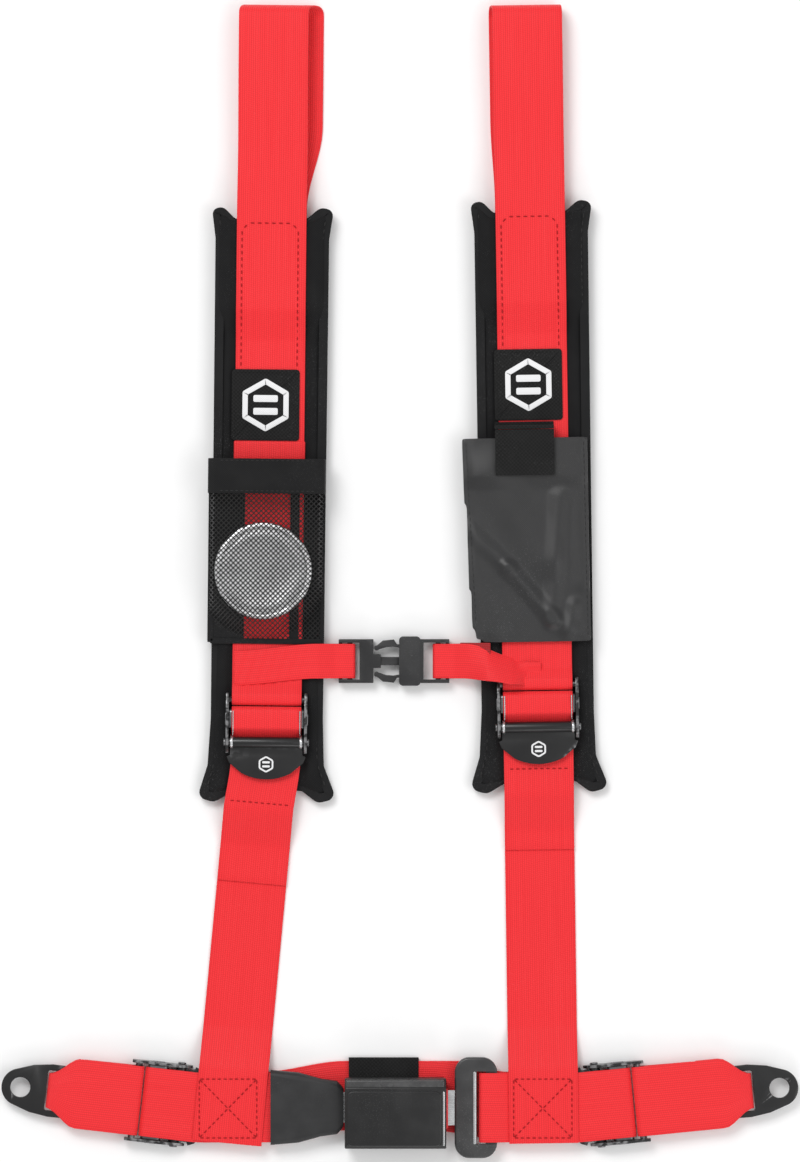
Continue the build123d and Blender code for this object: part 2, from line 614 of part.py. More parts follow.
def chest_clip():
    """Side-release clip: a ladder frame with a guide and two spring prongs, and its socket."""
    low = CLIP_Z - 5.0
    high = CLIP_Z + 5.0
    with BuildPart() as male:
        clip_box(-44.8, -19.4, 16.0, low + 1, high - 1)
        with BuildSketch(Plane.XY.offset(low)):
            with Locations((-37.2, CHEST_Y)):
                Rectangle(15.2, 2 * 13.5)
        extrude(amount=20, mode=Mode.SUBTRACT)
        clip_box(-44.8, -42.2, 16.0, CLIP_Z - 1.2, CLIP_Z + 1.2)
        clip_box(-38.5, -34.8, 16.0, CLIP_Z - 1.2, CLIP_Z + 1.2)
        clip_box(-20.0, 12.0, 3.0, CLIP_Z - 1.6, CLIP_Z + 1.6)
        clip_box(-20.0, -14.0, 5.0, low + 1, high - 1)
    export(male, "chest_clip_male")

    outline = [(-17.2, 8.0), (-17.2, 11.2), (-12.5, 15.0), (-4.5, 15.8), (-2.2, 12.2), (2.4, 12.2),
               (2.8, 14.2), (7.5, 13.4), (11.0, 11.0), (11.0, 9.7), (2.0, 9.4), (-5.0, 10.6),
               (-10.0, 10.2)]
    for name, flip in (("upper", 1), ("lower", -1)):
        with BuildPart() as prong:
            with BuildSketch(Plane.XY.offset(CLIP_Z - 3.0)):
                Polygon(*[(x, CHEST_Y + flip * y) for x, y in outline], align=None)
                with Locations((-17.0, CHEST_Y + flip * 9.6)):
                    Circle(1.9)
            extrude(amount=6.0)
        export(prong, f"chest_clip_prong_{name}")

    with BuildPart() as female:
        clip_box(-0.7, 15.0, 18.0, low, high)
        fillet(female.edges().filter_by(Axis.Z), 3.0)
        clip_box(14.0, 36.0, 16.0, low + 1, high - 1)
        with BuildSketch(Plane.XY.offset(CLIP_Z - 3.6)):
            with Locations((7.2, CHEST_Y)):
                Rectangle(11.6, 2 * 14.8)
            with Locations((0.0, CHEST_Y)):
                Rectangle(6.0, 2 * 12.7)
        extrude(amount=7.2, mode=Mode.SUBTRACT)
        with BuildSketch(Plane.XY.offset(low - 1)):
            with Locations((27.2, CHEST_Y)):
                Rectangle(20.0, 2 * 13.5)
        extrude(amount=20, mode=Mode.SUBTRACT)
        clip_box(26.0, 29.7, 16.0, CLIP_Z - 1.2, CLIP_Z + 1.2)
        clip_box(33.4, 36.0, 16.0, CLIP_Z - 1.2, CLIP_Z + 1.2)
    export(female, "chest_clip_female")


def box_between(x0, x1, half, low, high, y=LAP_Y, mode=Mode.ADD):
    """Box between two places along X and two heights, centred on a place along Y."""
    with Locations(((x0 + x1) / 2, y, (low + high) / 2)):
        Box(x1 - x0, 2 * half, high - low, mode=mode)


def buckle():
    """End-release lap buckle: two shells, steel frame, latch pawl, spring and red button."""
    left = BUCKLE_X - BUCKLE_LENGTH / 2
    right = BUCKLE_X + BUCKLE_LENGTH / 2
    half = BUCKLE_WIDTH / 2
    split = BUCKLE_Z + 7.5
    top = BUCKLE_Z + BUCKLE_HEIGHT
    wall = 1.4
    with BuildPart() as base:
        box_between(left, right, half, BUCKLE_Z, split, BUCKLE_Y)
        fillet(base.edges().filter_by(Axis.Z), 3.0)
        chamfer(base.edges().group_by(Axis.Z)[0], 1.2)
        box_between(left + 3, right + 5, half - 2.6, BUCKLE_Z + wall, split + 1, BUCKLE_Y,
                    Mode.SUBTRACT)
        box_between(left - 5, left + 5, 12.0, BUCKLE_Z + wall, split + 1, LAP_Y, Mode.SUBTRACT)
    export(base, "buckle_base")

    with BuildPart() as cover:
        with BuildSketch(Plane.YZ.offset(left)):
            Polygon((BUCKLE_Y - half, split + 0.1), (BUCKLE_Y + half, split + 0.1),
                    (BUCKLE_Y + half, top - 6.0), (BUCKLE_Y + half - 6.5, top),
                    (BUCKLE_Y - half + 2.5, top), (BUCKLE_Y - half, top - 2.5), align=None)
        extrude(amount=BUCKLE_LENGTH)
        fillet(cover.faces().sort_by(Axis.X)[0].edges().filter_by(Axis.Y), 1.8)
        box_between(left + 3, right + 5, half - 6.5, split, top - 2.0, BUCKLE_Y, Mode.SUBTRACT)
        box_between(left + 3, right + 5, half - 2.6, split, split + 5, BUCKLE_Y, Mode.SUBTRACT)
    export(cover, "buckle_cover")

    frame_low = BUCKLE_Z + wall + 0.2
    with BuildPart() as frame:
        box_between(-40, 30, 15.5, frame_low, frame_low + FRAME_THICK)
        box_between(-58, -45.2, 15.5, frame_low, frame_low + FRAME_THICK)
        box_between(-46, -36, 11.0, frame_low, frame_low + FRAME_THICK)
        box_between(-53, -46.0, 13.3, frame_low - 1, frame_low + 5, mode=Mode.SUBTRACT)
        box_between(-40.2, -33, 16, frame_low - 1, frame_low + 5, LAP_Y + 27.5, Mode.SUBTRACT)
        box_between(-40.2, -33, 16, frame_low - 1, frame_low + 5, LAP_Y - 27.5, Mode.SUBTRACT)
        box_between(11.0, 19.0, 8.0, frame_low - 1, frame_low + 5, mode=Mode.SUBTRACT)
        for flip in (1, -1):
            box_between(2, 28, 1.0, frame_low, frame_low + 7.4, LAP_Y + flip * 14.5)
    export(frame, "buckle_frame")

    with BuildPart() as pawl:
        box_between(11.6, 14.2, 6.5, PAWL_LOW, PAWL_LOW + 5.0)
        box_between(4.0, 14.2, 12.6, PAWL_LOW + 3.3, PAWL_LOW + 4.9)
    export(pawl, "latch_pawl")

    with BuildPart() as button:
        box_between(18.5, 35.0, 14.4, BUTTON_LOW, BUTTON_LOW + 8.0)
        fillet(button.edges().group_by(Axis.X)[-1], 1.0)
        with BuildSketch(Plane.YZ.offset(18.0)):
            with Locations((LAP_Y, SPRING_Z)):
                Circle(2.4)
        extrude(amount=10.0, mode=Mode.SUBTRACT)
    export(button, "release_button")

    with BuildPart() as spring:
        with BuildSketch(Plane.YZ.offset(6.0)):
            with Locations((LAP_Y, SPRING_Z)):
                Circle(2.1)
                Circle(1.5, mode=Mode.SUBTRACT)
        extrude(amount=17.0)
    export(spring, "button_spring")


def tongue():
    """Steel tongue plate held in a coated grip whose outer bar carries the webbing."""
    low = LAP_Z - 0.2 - TONGUE_THICK / 2
    with BuildPart() as plate:
        box_between(4.5, 46.0, 12.8, low, low + TONGUE_THICK)
        chamfer(plate.edges().filter_by(Axis.Z).group_by(Axis.X)[0], 4.0)
        box_between(10.6, 20.5, 7.6, low - 1, low + 5, mode=Mode.SUBTRACT)
    export(plate, "tongue_plate")

    half = 36.8
    with BuildPart() as grip:
        with BuildSketch(Plane.XY.offset(LAP_Z - 3.2)):
            with Locations((55.4, LAP_Y)):
                RectangleRounded(31.0, 2 * half, 11.0)
        extrude(amount=6.4)
        fillet(grip.edges().filter_by(GeomType.PLANE, reverse=True).group_by(Axis.Z)[-1], 1.6)
        box_between(56.0, 62.5, 26.6, 0, 30, mode=Mode.SUBTRACT)
        box_between(62.0, 75.0, 26.6, LAP_Z + 1.5, 30, mode=Mode.SUBTRACT)
        box_between(62.0, 75.0, 26.6, 0, LAP_Z - 1.5, mode=Mode.SUBTRACT)
        box_between(36.0, 46.2, 12.95, low - 0.05, low + TONGUE_THICK + 0.05, mode=Mode.SUBTRACT)
    export(grip, "tongue_grip")


def boot_sleeve():
    """Moulded sleeve over the webbing and the tail of the buckle frame."""
    sections = [(-94.5, 54.6, 12.0), (-74.0, 51.0, 12.6), (-58.0, 42.0, 13.6), (-46.0, 38.6, 13.6),
                (-41.4, 29.0, 12.0)]
    wall = 1.1
    with BuildPart() as sleeve:
        for x, width, height in sections:
            with BuildSketch(Plane.YZ.offset(x)):
                with Locations((LAP_Y, BOOT_Z)):
                    RectangleRounded(width, height, 4.0)
        loft(ruled=True)
        for x, width, height in sections:
            reach = x + (-2 if x == -94.5 else 2 if x == -41.4 else 0)
            with BuildSketch(Plane.YZ.offset(reach)):
                with Locations((LAP_Y, BOOT_Z)):
                    RectangleRounded(width - 2 * wall, height - 2 * wall, 3.0)
        loft(ruled=True, mode=Mode.SUBTRACT)
    export(sleeve, "buckle_boot")


def keeper():
    """Flat sleeve that holds the two lap tails together behind the buckle."""
    y = LAP_Y + TAIL_RISE
    high = TAIL_Z + LAYER + WEB_THICK / 2 + CLEAR
    with BuildPart() as sleeve:
        box_between(-37.5, 13.6, 28.0, 0, high + 0.8, y)
        box_between(-40.0, 16.0, 27.0, 0.8, high, y, Mode.SUBTRACT)
        fillet(sleeve.edges().filter_by(Axis.X).group_by(Axis.Z)[-1], 0.5)
    export(sleeve, "tail_keeper")


for name, side in SIDES.items():
    pad(name, side)
    shoulder_belt(name, side)
    bar_slider(name, side)
    lower_belt(name, side)
    outer_lap_belt(name, side)
    end_bracket(name, side)
    adjuster(f"shoulder_{name}", adjuster_frame(side).offset(roll_height()))
    adjuster(f"lap_{name}", lap_adjuster_plane(side))

patch("left", SIDES["left"], 128.5)
patch("right", SIDES["right"], 143.4)
left_reach = [lap_reach(SIDES["left"], x) for x in (-90, -47.4, -64, -80)]
frame_mid = BUCKLE_Z + 1.6 + FRAME_THICK / 2
inner_lap_belt("left", SIDES["left"],
               [(left_reach[0], frame_mid - 2.0), (left_reach[1], frame_mid - 2.0),
                (left_reach[1], frame_mid + 2.0), (left_reach[2], frame_mid + 2.0),
                (left_reach[3], LAP_Z)],
               [1.9, 1.9, 10.0, 10.0])
right_reach = [lap_reach(SIDES["right"], x) for x in (94, 58.2, 70, 79)]
inner_lap_belt("right", SIDES["right"],
               [(right_reach[0], LAP_Z - 2.6), (right_reach[1], LAP_Z - 2.6),
                (right_reach[1], LAP_Z + 2.6), (right_reach[2], LAP_Z + 2.6),
                (right_reach[3], LAP_Z)],
               [2.5, 2.5, 6.0, 6.0])
mesh_pocket()
tin()
phone_pocket()
chest_belt("left", 1)
chest_belt("right", -1)
chest_clip()
buckle()
tongue()
boot_sleeve()
keeper()
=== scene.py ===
import json
from math import cos, hypot, pi, radians, sin, tan

import bpy
from mathutils import Matrix, Vector, noise

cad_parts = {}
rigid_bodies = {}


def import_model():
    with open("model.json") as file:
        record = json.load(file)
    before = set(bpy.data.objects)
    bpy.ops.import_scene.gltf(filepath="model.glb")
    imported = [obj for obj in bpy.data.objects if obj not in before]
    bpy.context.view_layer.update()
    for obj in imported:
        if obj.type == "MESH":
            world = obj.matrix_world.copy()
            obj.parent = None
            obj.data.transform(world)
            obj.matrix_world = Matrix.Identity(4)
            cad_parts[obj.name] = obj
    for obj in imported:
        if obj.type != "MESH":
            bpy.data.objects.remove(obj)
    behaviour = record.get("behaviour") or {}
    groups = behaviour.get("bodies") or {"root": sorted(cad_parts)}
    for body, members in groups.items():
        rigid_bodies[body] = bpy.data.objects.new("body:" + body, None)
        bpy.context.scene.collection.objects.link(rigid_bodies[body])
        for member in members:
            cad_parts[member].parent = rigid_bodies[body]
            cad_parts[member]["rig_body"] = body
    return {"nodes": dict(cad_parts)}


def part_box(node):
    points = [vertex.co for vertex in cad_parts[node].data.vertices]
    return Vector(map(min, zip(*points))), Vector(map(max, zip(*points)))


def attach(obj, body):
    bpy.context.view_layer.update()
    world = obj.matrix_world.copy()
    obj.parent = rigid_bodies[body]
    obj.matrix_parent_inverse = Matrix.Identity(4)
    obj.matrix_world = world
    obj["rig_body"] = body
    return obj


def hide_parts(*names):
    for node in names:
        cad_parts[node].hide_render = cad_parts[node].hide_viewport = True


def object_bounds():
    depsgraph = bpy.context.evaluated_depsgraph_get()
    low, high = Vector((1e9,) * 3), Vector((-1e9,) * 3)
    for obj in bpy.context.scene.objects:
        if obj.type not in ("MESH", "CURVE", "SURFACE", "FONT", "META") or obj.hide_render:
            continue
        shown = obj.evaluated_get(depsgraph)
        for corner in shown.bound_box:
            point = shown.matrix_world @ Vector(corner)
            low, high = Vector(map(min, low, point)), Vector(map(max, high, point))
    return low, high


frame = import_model()
cad_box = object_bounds()
nodes = frame["nodes"]
MM = 0.001

# ---------------------------------------------------------------- driving sizes, in metres
WEB_WIDTH = 50.8 * MM
WEB_THICK = 1.4 * MM
CLEAR = 0.3 * MM
LAYER = WEB_THICK + CLEAR
FLOOR_LAYER = 0.8 * MM
PAD_THICK = 9.0 * MM
PAD_HUMP = 6.2 * MM
STRAP_Z = PAD_THICK + CLEAR + WEB_THICK / 2
LAP_Z = 11.1 * MM
BELT_Z = LAP_Z + WEB_THICK + 0.1 * MM
LOOP_HEIGHT = 19.0 * MM
SHOULDER_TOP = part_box("shoulder_belt_left")[1][1]
WRAP = 4.0 * MM
TURN = 8.5 * MM
LAP_Y = sum(corner[1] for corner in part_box("buckle_boot")) / 2
TAIL_RISE = 8.0 * MM
BEND_INWARD = 32.0 * MM
BEND_BELOW = 56.0 * MM
ROLL_Z = 14.8 * MM
LAP_ROLL_Z = LAP_Z - WRAP
BAR_V = 14.0 * MM
SLIDER_DROP = 36.0 * MM
BAR_WRAP = 3.5 * MM
BOLT_TO_TURN = 20.4 * MM
FOLDED_HALF = 12.8
CAM_V = -17.0
CAM_Z = 2.8
COIL_RADIUS = 4.9
COIL_TURN = 6
SPRING_SIDE = 25.9

SIDES = {
    "left": dict(x=-96.3 * MM, lean=0.6, adjuster=-100.7 * MM, shift=-4.5 * MM, belt_lean=5.4,
                 pad_top=272.0 * MM, pad_end=-161.0 * MM, out=-1, tail_end=-221.0 * MM,
                 roll=-179.5 * MM, reach=98.5 * MM, lap_lean=6.5, tail_z=1.8 * MM,
                 level=-40.0 * MM, tail_x=45.0 * MM, back_drift=11.0 * MM),
    "right": dict(x=99.2 * MM, lean=-0.9, adjuster=-89.5 * MM, shift=0.0, belt_lean=-0.8,
                  pad_top=277.0 * MM, pad_end=-154.0 * MM, out=1, tail_end=-196.5 * MM,
                  roll=161.5 * MM, reach=116.2 * MM, lap_lean=5.5, tail_z=3.5 * MM,
                  level=22.0 * MM, tail_x=-30.0 * MM, back_drift=-2.5 * MM),
}


# ---------------------------------------------------------------- modelling helpers
def clear_selection():
    if bpy.context.mode != "OBJECT":
        bpy.ops.object.mode_set(mode="OBJECT")
    bpy.ops.object.select_all(action="DESELECT")


def active(name):
    piece = bpy.context.active_object
    piece.name = name
    piece.data.name = name
    return piece


def pick(piece):
    clear_selection()
    piece.select_set(True)
    bpy.context.view_layer.objects.active = piece


def settle(piece):
    """Puts the piece's place into its mesh and leaves its object at the origin."""
    pick(piece)
    bpy.ops.object.transform_apply(location=True, rotation=True, scale=True)
    return piece


def modify(piece, kind, **values):
    pick(piece)
    modifier = piece.modifiers.new(kind.title(), kind)
    for key, value in values.items():
        setattr(modifier, key, value)
    bpy.ops.object.modifier_apply(modifier=modifier.name)


def bevelled(piece, width, segments=2, angle=50, **more):
    """Breaks the edges sharper than an angle in degrees."""
    modify(piece, "BEVEL", width=width, segments=segments, limit_method="ANGLE",
           angle_limit=radians(angle), **more)


def smooth(piece, angle=35):
    pick(piece)
    bpy.ops.object.shade_smooth_by_angle(angle=radians(angle))


def outward(piece):
    pick(piece)
    bpy.ops.object.mode_set(mode="EDIT")
    bpy.ops.mesh.select_all(action="SELECT")
    bpy.ops.mesh.normals_make_consistent(inside=False)
    bpy.ops.object.mode_set(mode="OBJECT")


def pick_faces(piece, chosen):
    """Leaves the piece in edit mode with only the chosen faces selected."""
    pick(piece)
    bpy.ops.object.mode_set(mode="EDIT")
    bpy.ops.mesh.select_mode(type="FACE")
    bpy.ops.mesh.select_all(action="DESELECT")
    bpy.ops.object.mode_set(mode="OBJECT")
    for face in piece.data.polygons:
        face.select = chosen(face)
    bpy.ops.object.mode_set(mode="EDIT")


def join(name, parts):
    clear_selection()
    for part in parts:
        part.select_set(True)
    bpy.context.view_layer.objects.active = parts[0]
    if len(parts) > 1:
        bpy.ops.object.join()
    return active(name)


def place(piece, body, finish, slot, *replaced):
    piece.data.materials.clear()
    piece.data.materials.append(finish)
    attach(piece, body)
    if replaced:
        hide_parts(*replaced)
    return piece


def refine(node, name, width=0.5 * MM, segments=3, angle=32):
    """A copy of a solid with its edges broken, as a moulding or a stamping has them."""
    source = nodes[node]
    piece = bpy.data.objects.new(name, source.data.copy())
    bpy.context.scene.collection.objects.link(piece)
    pick(piece)
    bpy.ops.object.mode_set(mode="EDIT")
    bpy.ops.mesh.select_all(action="SELECT")
    bpy.ops.mesh.remove_doubles(threshold=0.00001)
    bpy.ops.mesh.dissolve_limited(angle_limit=radians(2))
    bpy.ops.object.mode_set(mode="OBJECT")
    bevelled(piece, width, segments, angle, use_clamp_overlap=True, harden_normals=False)
    smooth(piece, 40)
    return piece


# ---------------------------------------------------------------- belts
def rounded(points, radii):
    """Side-view line with its corners rounded, sampled evenly enough for a soft belt."""
    if not isinstance(radii, list):
        radii = [radii] * (len(points) - 2)
    line = [Vector(points[0])]
    for index, radius in enumerate(radii):
        before = Vector(points[index])
        corner = Vector(points[index + 1])
        after = Vector(points[index + 2])
        back = (before - corner).normalized()
        ahead = (after - corner).normalized()
        half = back.angle(ahead) / 2
        cut = radius / tan(half)
        centre = corner + (back + ahead).normalized() * (radius / sin(half))
        start = corner + back * cut
        sweep = pi - 2 * half
        turn = 1 if back.x * ahead.y - back.y * ahead.x < 0 else -1
        steps = max(2, int(sweep / radians(15)) + 1)
        for step in range(steps + 1):
            spoke = start - centre
            spin = Matrix.Rotation(turn * sweep * step / steps, 2)
            line.append(centre + spin @ spoke)
    line.append(Vector(points[-1]))
    return line


def spaced(line, longest=7 * MM):
    even = [line[0]]
    for point in line[1:]:
        gap = (point - even[-1]).length
        if gap < 0.05 * MM:
            continue
        parts = max(1, int(gap / longest + 0.5))
        start = even[-1]
        for part in range(1, parts + 1):
            even.append(start.lerp(point, part / parts))
    return even


def belt_strip(name, line, width, columns=8):
    """Flat strip pulled out edge by edge along its side view, with its own cloth coordinates."""
    clear_selection()
    bpy.ops.mesh.primitive_grid_add(x_subdivisions=columns, y_subdivisions=1, size=1)
    strip = active(name)
    per_row = columns + 1
    for vertex in strip.data.vertices:
        row = vertex.index // per_row
        across = (vertex.index % per_row) / columns - 0.5
        vertex.co = (across * width, line[row].x, line[row].y)
    bpy.ops.object.mode_set(mode="EDIT")
    bpy.ops.mesh.select_mode(type="VERT")
    bpy.ops.mesh.select_all(action="DESELECT")
    bpy.ops.object.mode_set(mode="OBJECT")
    for vertex in strip.data.vertices:
        vertex.select = vertex.index >= per_row
    for edge in strip.data.edges:
        edge.select = all(strip.data.vertices[i].select for i in edge.vertices)
    bpy.ops.object.mode_set(mode="EDIT")
    bpy.ops.mesh.select_mode(type="EDGE")
    for last, point in zip(line[1:], line[2:]):
        step = point - last
        bpy.ops.mesh.extrude_region_move(TRANSFORM_OT_translate={"value": (0, step.x, step.y)})
    bpy.ops.object.mode_set(mode="OBJECT")
    travelled = [0.0]
    for last, point in zip(line, line[1:]):
        travelled.append(travelled[-1] + (point - last).length)
    cloth = strip.data.uv_layers.get("UVMap") or strip.data.uv_layers.new(name="UVMap")
    for loop in strip.data.loops:
        vertex = strip.data.vertices[loop.vertex_index]
        cloth.data[loop.index].uv = (vertex.co.x, travelled[vertex.index // per_row])
    return strip


def belt(name, line, plan, width=WEB_WIDTH, thick=WEB_THICK, shape=None, ripple=0.25 * MM,
         longest=7 * MM):
    """Webbing: a strip given its thickness and soft edges, then laid along its plan."""
    piece = belt_strip(name, spaced(line, longest), width)
    for vertex in piece.data.vertices:
        wave = noise.noise(Vector((vertex.co.x * 25, vertex.co.y * 16, len(name))))
        vertex.co.z += ripple * wave
        if shape is not None:
            vertex.co = shape(vertex.co.copy())
    modify(piece, "SOLIDIFY", thickness=thick * 0.93, offset=0, use_even_offset=True)
    bevelled(piece, 0.4 * MM)
    for vertex in piece.data.vertices:
        place_at, across = plan(vertex.co.y)
        spot = place_at + across * vertex.co.x
        vertex.co = (spot.x, spot.y, vertex.co.z)
    outward(piece)
    smooth(piece, 50)
    return piece


def directions(lean):
    """Along and across a belt that leans by some degrees."""
    return (Vector((sin(radians(lean)), cos(radians(lean)), 0)),
            Vector((cos(radians(lean)), -sin(radians(lean)), 0)))


def straight_plan(origin, lean, start=0.0):
    """Plan of a belt that runs straight up with a lean in degrees."""
    along, across = directions(lean)
    return lambda s: (origin + along * (s - start), across)


def shoulder_plan(side):
    return straight_plan(Vector((side["x"], 0, 0)), side["lean"])


def ease(value):
    value = min(1.0, max(0.0, value))
    return value * value * (3 - 2 * value)


def lower_plan(side):
    """Lower belt's plan, measured from the roll bar: in line with the pad, then leaning."""
    upper = shoulder_plan(side)
    seat, across_up = upper(side["adjuster"])
    along_up = Vector((sin(radians(side["lean"])), cos(radians(side["lean"])), 0))
    start = seat - along_up * BEND_BELOW + across_up * side["shift"]
    leaning = straight_plan(start, side["belt_lean"])

    def plan(s):
        blend = ease((-s - 18 * MM) / (50 * MM))
        place_up = seat + along_up * s
        place_low, across_low = leaning(s + BEND_BELOW)
        return place_up.lerp(place_low, blend), across_up.lerp(across_low, blend).normalized()
    return plan


def lap_plan(side):
    """Lap belt's plan, measured outward from the roll bar, bending level past the box stitching."""
    lean = radians(side["lap_lean"])
    out = side["out"]
    origin = Vector((side["roll"], LAP_Y + BEND_INWARD * sin(lean), 0))
    leaning = Vector((out * cos(lean), sin(lean), 0))
    leaning_across = Vector((out * sin(lean), -cos(lean), 0)) * out
    level_across = Vector((0, -1, 0)) * out

    def plan(s):
        blend = ease((-s - 16 * MM) / (34 * MM))
        tilted = origin + leaning * s
        flat = Vector((side["roll"] + out * s, LAP_Y, 0))
        return tilted.lerp(flat, blend), leaning_across.lerp(level_across, blend).normalized()
    return plan


def shoulder_belt(name, side):
    top = side["pad_top"]
    slide = top - SLIDER_DROP
    bar = side["adjuster"] + BAR_V
    bar_z = STRAP_Z + 3.5 * MM
    wrap = BAR_WRAP
    crown = SHOULDER_TOP - 1.1 * MM
    points = [
        (slide - 26 * MM, FLOOR_LAYER), (slide - 11 * MM, FLOOR_LAYER), (slide - 4.5 * MM, 5 * MM),
        (slide + 4.5 * MM, 5 * MM), (slide + 11 * MM, FLOOR_LAYER), (crown, FLOOR_LAYER),
        (crown, LOOP_HEIGHT), (top + 12 * MM, STRAP_Z + PAD_HUMP),
        (top - 74 * MM, STRAP_Z + PAD_HUMP),
        (top - 96 * MM, STRAP_Z), (bar + 40 * MM, STRAP_Z), (bar + 33 * MM, STRAP_Z + LAYER),
        (bar + 12 * MM, STRAP_Z + LAYER), (bar + 3.5 * MM, bar_z + wrap),
        (bar - wrap, bar_z + wrap),
        (bar - wrap, STRAP_Z), (bar + 29 * MM, STRAP_Z),
    ]
    radii = [r * MM for r in (2, 2, 2, 2, 8, 8, 30, 12, 12, 8, 8, 3, 2.5, 3.4, 3.4)]
    drift = side["back_drift"]

    def slack(spot):
        back = ease((LOOP_HEIGHT - spot.z) / LOOP_HEIGHT) * ease((spot.y - top) / (60 * MM))
        spot.x += drift * back
        curl = ease((spot.y - top - 10 * MM) / (40 * MM))
        spot.z += 0.7 * MM * curl * sin(spot.y * 38 + spot.x * 20)
        spot.z = max(spot.z, 0.7 * MM)
        return spot

    piece = belt(f"shoulder_webbing_{name}", rounded(points, radii), shoulder_plan(side),
                 shape=slack)
    return place(piece, f"{name}_half", webbing, "webbing_red", f"shoulder_belt_{name}")


def lower_belt(name, side):
    low = ROLL_Z - WRAP
    under = low + LAYER
    plan = lower_plan(side)
    start_y = plan(-BEND_BELOW)[0].y
    run = (start_y - LAP_Y) / cos(radians(side["belt_lean"])) + BEND_BELOW
    hem = side["tail_end"] - side["adjuster"]
    points = [
        (-run - 26 * MM, BELT_Z), (-run + 30 * MM, BELT_Z), (-run + 56 * MM, 1.1 * MM),
        (-BEND_BELOW - 36 * MM, 1.1 * MM), (-BEND_BELOW - 10 * MM, low), (TURN, low),
        (TURN, ROLL_Z + WRAP), (-6.5 * MM, ROLL_Z + WRAP), (-13 * MM, under),
        (-BEND_BELOW - 10.5 * MM, under), (-BEND_BELOW - 36.5 * MM, 1.1 * MM + LAYER),
        (hem, 1.1 * MM + LAYER),
    ]
    radii = [r * MM for r in (14, 14, 14, 14, 3.95, 3.95, 2.5, 2.5, 14, 14)]
    piece = belt(f"lower_webbing_{name}", rounded(points, radii), plan, ripple=0.12 * MM)
    return place(piece, f"{name}_half", webbing, "webbing_red", f"lower_belt_{name}")


def inner_lap_belt(name, side, inner, inner_radii, gather=None):
    low = LAP_ROLL_Z - WRAP
    under = LAP_Z - LAYER
    points = inner + [(TURN, LAP_Z), (TURN, low), (-6.5 * MM, low), (-13 * MM, under),
                      (-50 * MM, under), (-64 * MM, side["tail_z"]),
                      (side["out"] * (side["tail_x"] - side["roll"]), side["tail_z"])]
    radii = inner_radii + [r * MM for r in (3.95, 3.95, 2.5, 2.5, 5, 5)]
    level_plan = lap_plan(side)
    rise_from = side["out"] * (side["level"] - side["roll"])
    tail_top = side["tail_z"] + 1.2 * MM

    def shape(spot):
        rise = ease((-78 * MM - spot.y) / (-78 * MM - rise_from)) if spot.z < tail_top else 0.0
        spot.x -= side["out"] * TAIL_RISE * rise
        if gather is not None and spot.z > tail_top:
            spot = gather(spot)
        return spot

    piece = belt(f"lap_webbing_{name}", rounded(points, radii), level_plan, shape=shape,
                 ripple=0.1 * MM)
    return place(piece, f"{name}_half", webbing, "webbing_red", f"inner_lap_belt_{name}")


def outer_lap_belt(name, side):
    reach = side["reach"] - BOLT_TO_TURN
    bar_z = LAP_ROLL_Z + 1.3 * MM
    wrap = BAR_WRAP
    plate_z = LAP_Z - 3 * MM
    loop = 2.6 * MM
    points = [
        (BAR_V + 40 * MM, bar_z + 0.7 * MM), (BAR_V + 24 * MM, bar_z - 0.9 * MM),
        (BAR_V + 10 * MM, bar_z - wrap), (BAR_V - wrap, bar_z - wrap),
        (BAR_V - wrap, bar_z + wrap), (BAR_V + 12 * MM, bar_z + wrap),
        (BAR_V + 46 * MM, plate_z + loop), (reach, plate_z + loop), (reach, plate_z - loop),
        (BAR_V + 43 * MM, plate_z - loop),
    ]
    radii = [r * MM for r in (8, 8, 3.4, 3.4, 8, 8, 2.5, 2.5)]

    def fold_corners(spot):
        near = ease((spot.y - reach + 22 * MM) / (22 * MM))
        narrow = 1 - near * (1 - FOLDED_HALF / 25.4)
        spot.x *= narrow
        spot.z += 0.35 * MM * near * (1 if spot.z > plate_z else -1)
        return spot

    piece = belt(f"bracket_webbing_{name}", rounded(points, radii), lap_plan(side),
                 shape=fold_corners, ripple=0.1 * MM, longest=4 * MM)
    return place(piece, f"{name}_half", webbing, "webbing_red", f"outer_lap_belt_{name}")


# ---------------------------------------------------------------- shader building blocks
def node(tree, kind, values=None, **settings):
    made = tree.nodes.new("ShaderNode" + kind)
    for key, value in settings.items():
        setattr(made, key, value)
    for key, value in (values or {}).items():
        if isinstance(value, bpy.types.NodeSocket):
            tree.links.new(value, made.inputs[key])
        else:
            made.inputs[key].default_value = value
    return made


def maths(tree, operation, first, second=0.0):
    return node(tree, "Math", {0: first, 1: second}, operation=operation).outputs[0]


def blend_colours(tree, factor, first, second):
    made = node(tree, "Mix", {0: factor, 6: first, 7: second}, data_type="RGBA")
    return made.outputs[2]


def ranged(tree, value, low, high, out_low=0.0, out_high=1.0):
    made = node(tree, "MapRange", {0: value, 1: low, 2: high, 3: out_low, 4: out_high},
                interpolation_type="SMOOTHSTEP")
    return made.outputs[0]


def group(name, inputs, outputs):
    tree = bpy.data.node_groups.new(name, "ShaderNodeTree")
    for label, kind, default in inputs:
        socket = tree.interface.new_socket(label, in_out="INPUT", socket_type="NodeSocket" + kind)
        if default is not None:
            socket.default_value = default
    for label, kind in outputs:
        tree.interface.new_socket(label, in_out="OUTPUT", socket_type="NodeSocket" + kind)
    given = tree.nodes.new("NodeGroupInput").outputs
    result = tree.nodes.new("NodeGroupOutput").inputs
    return tree, given, result


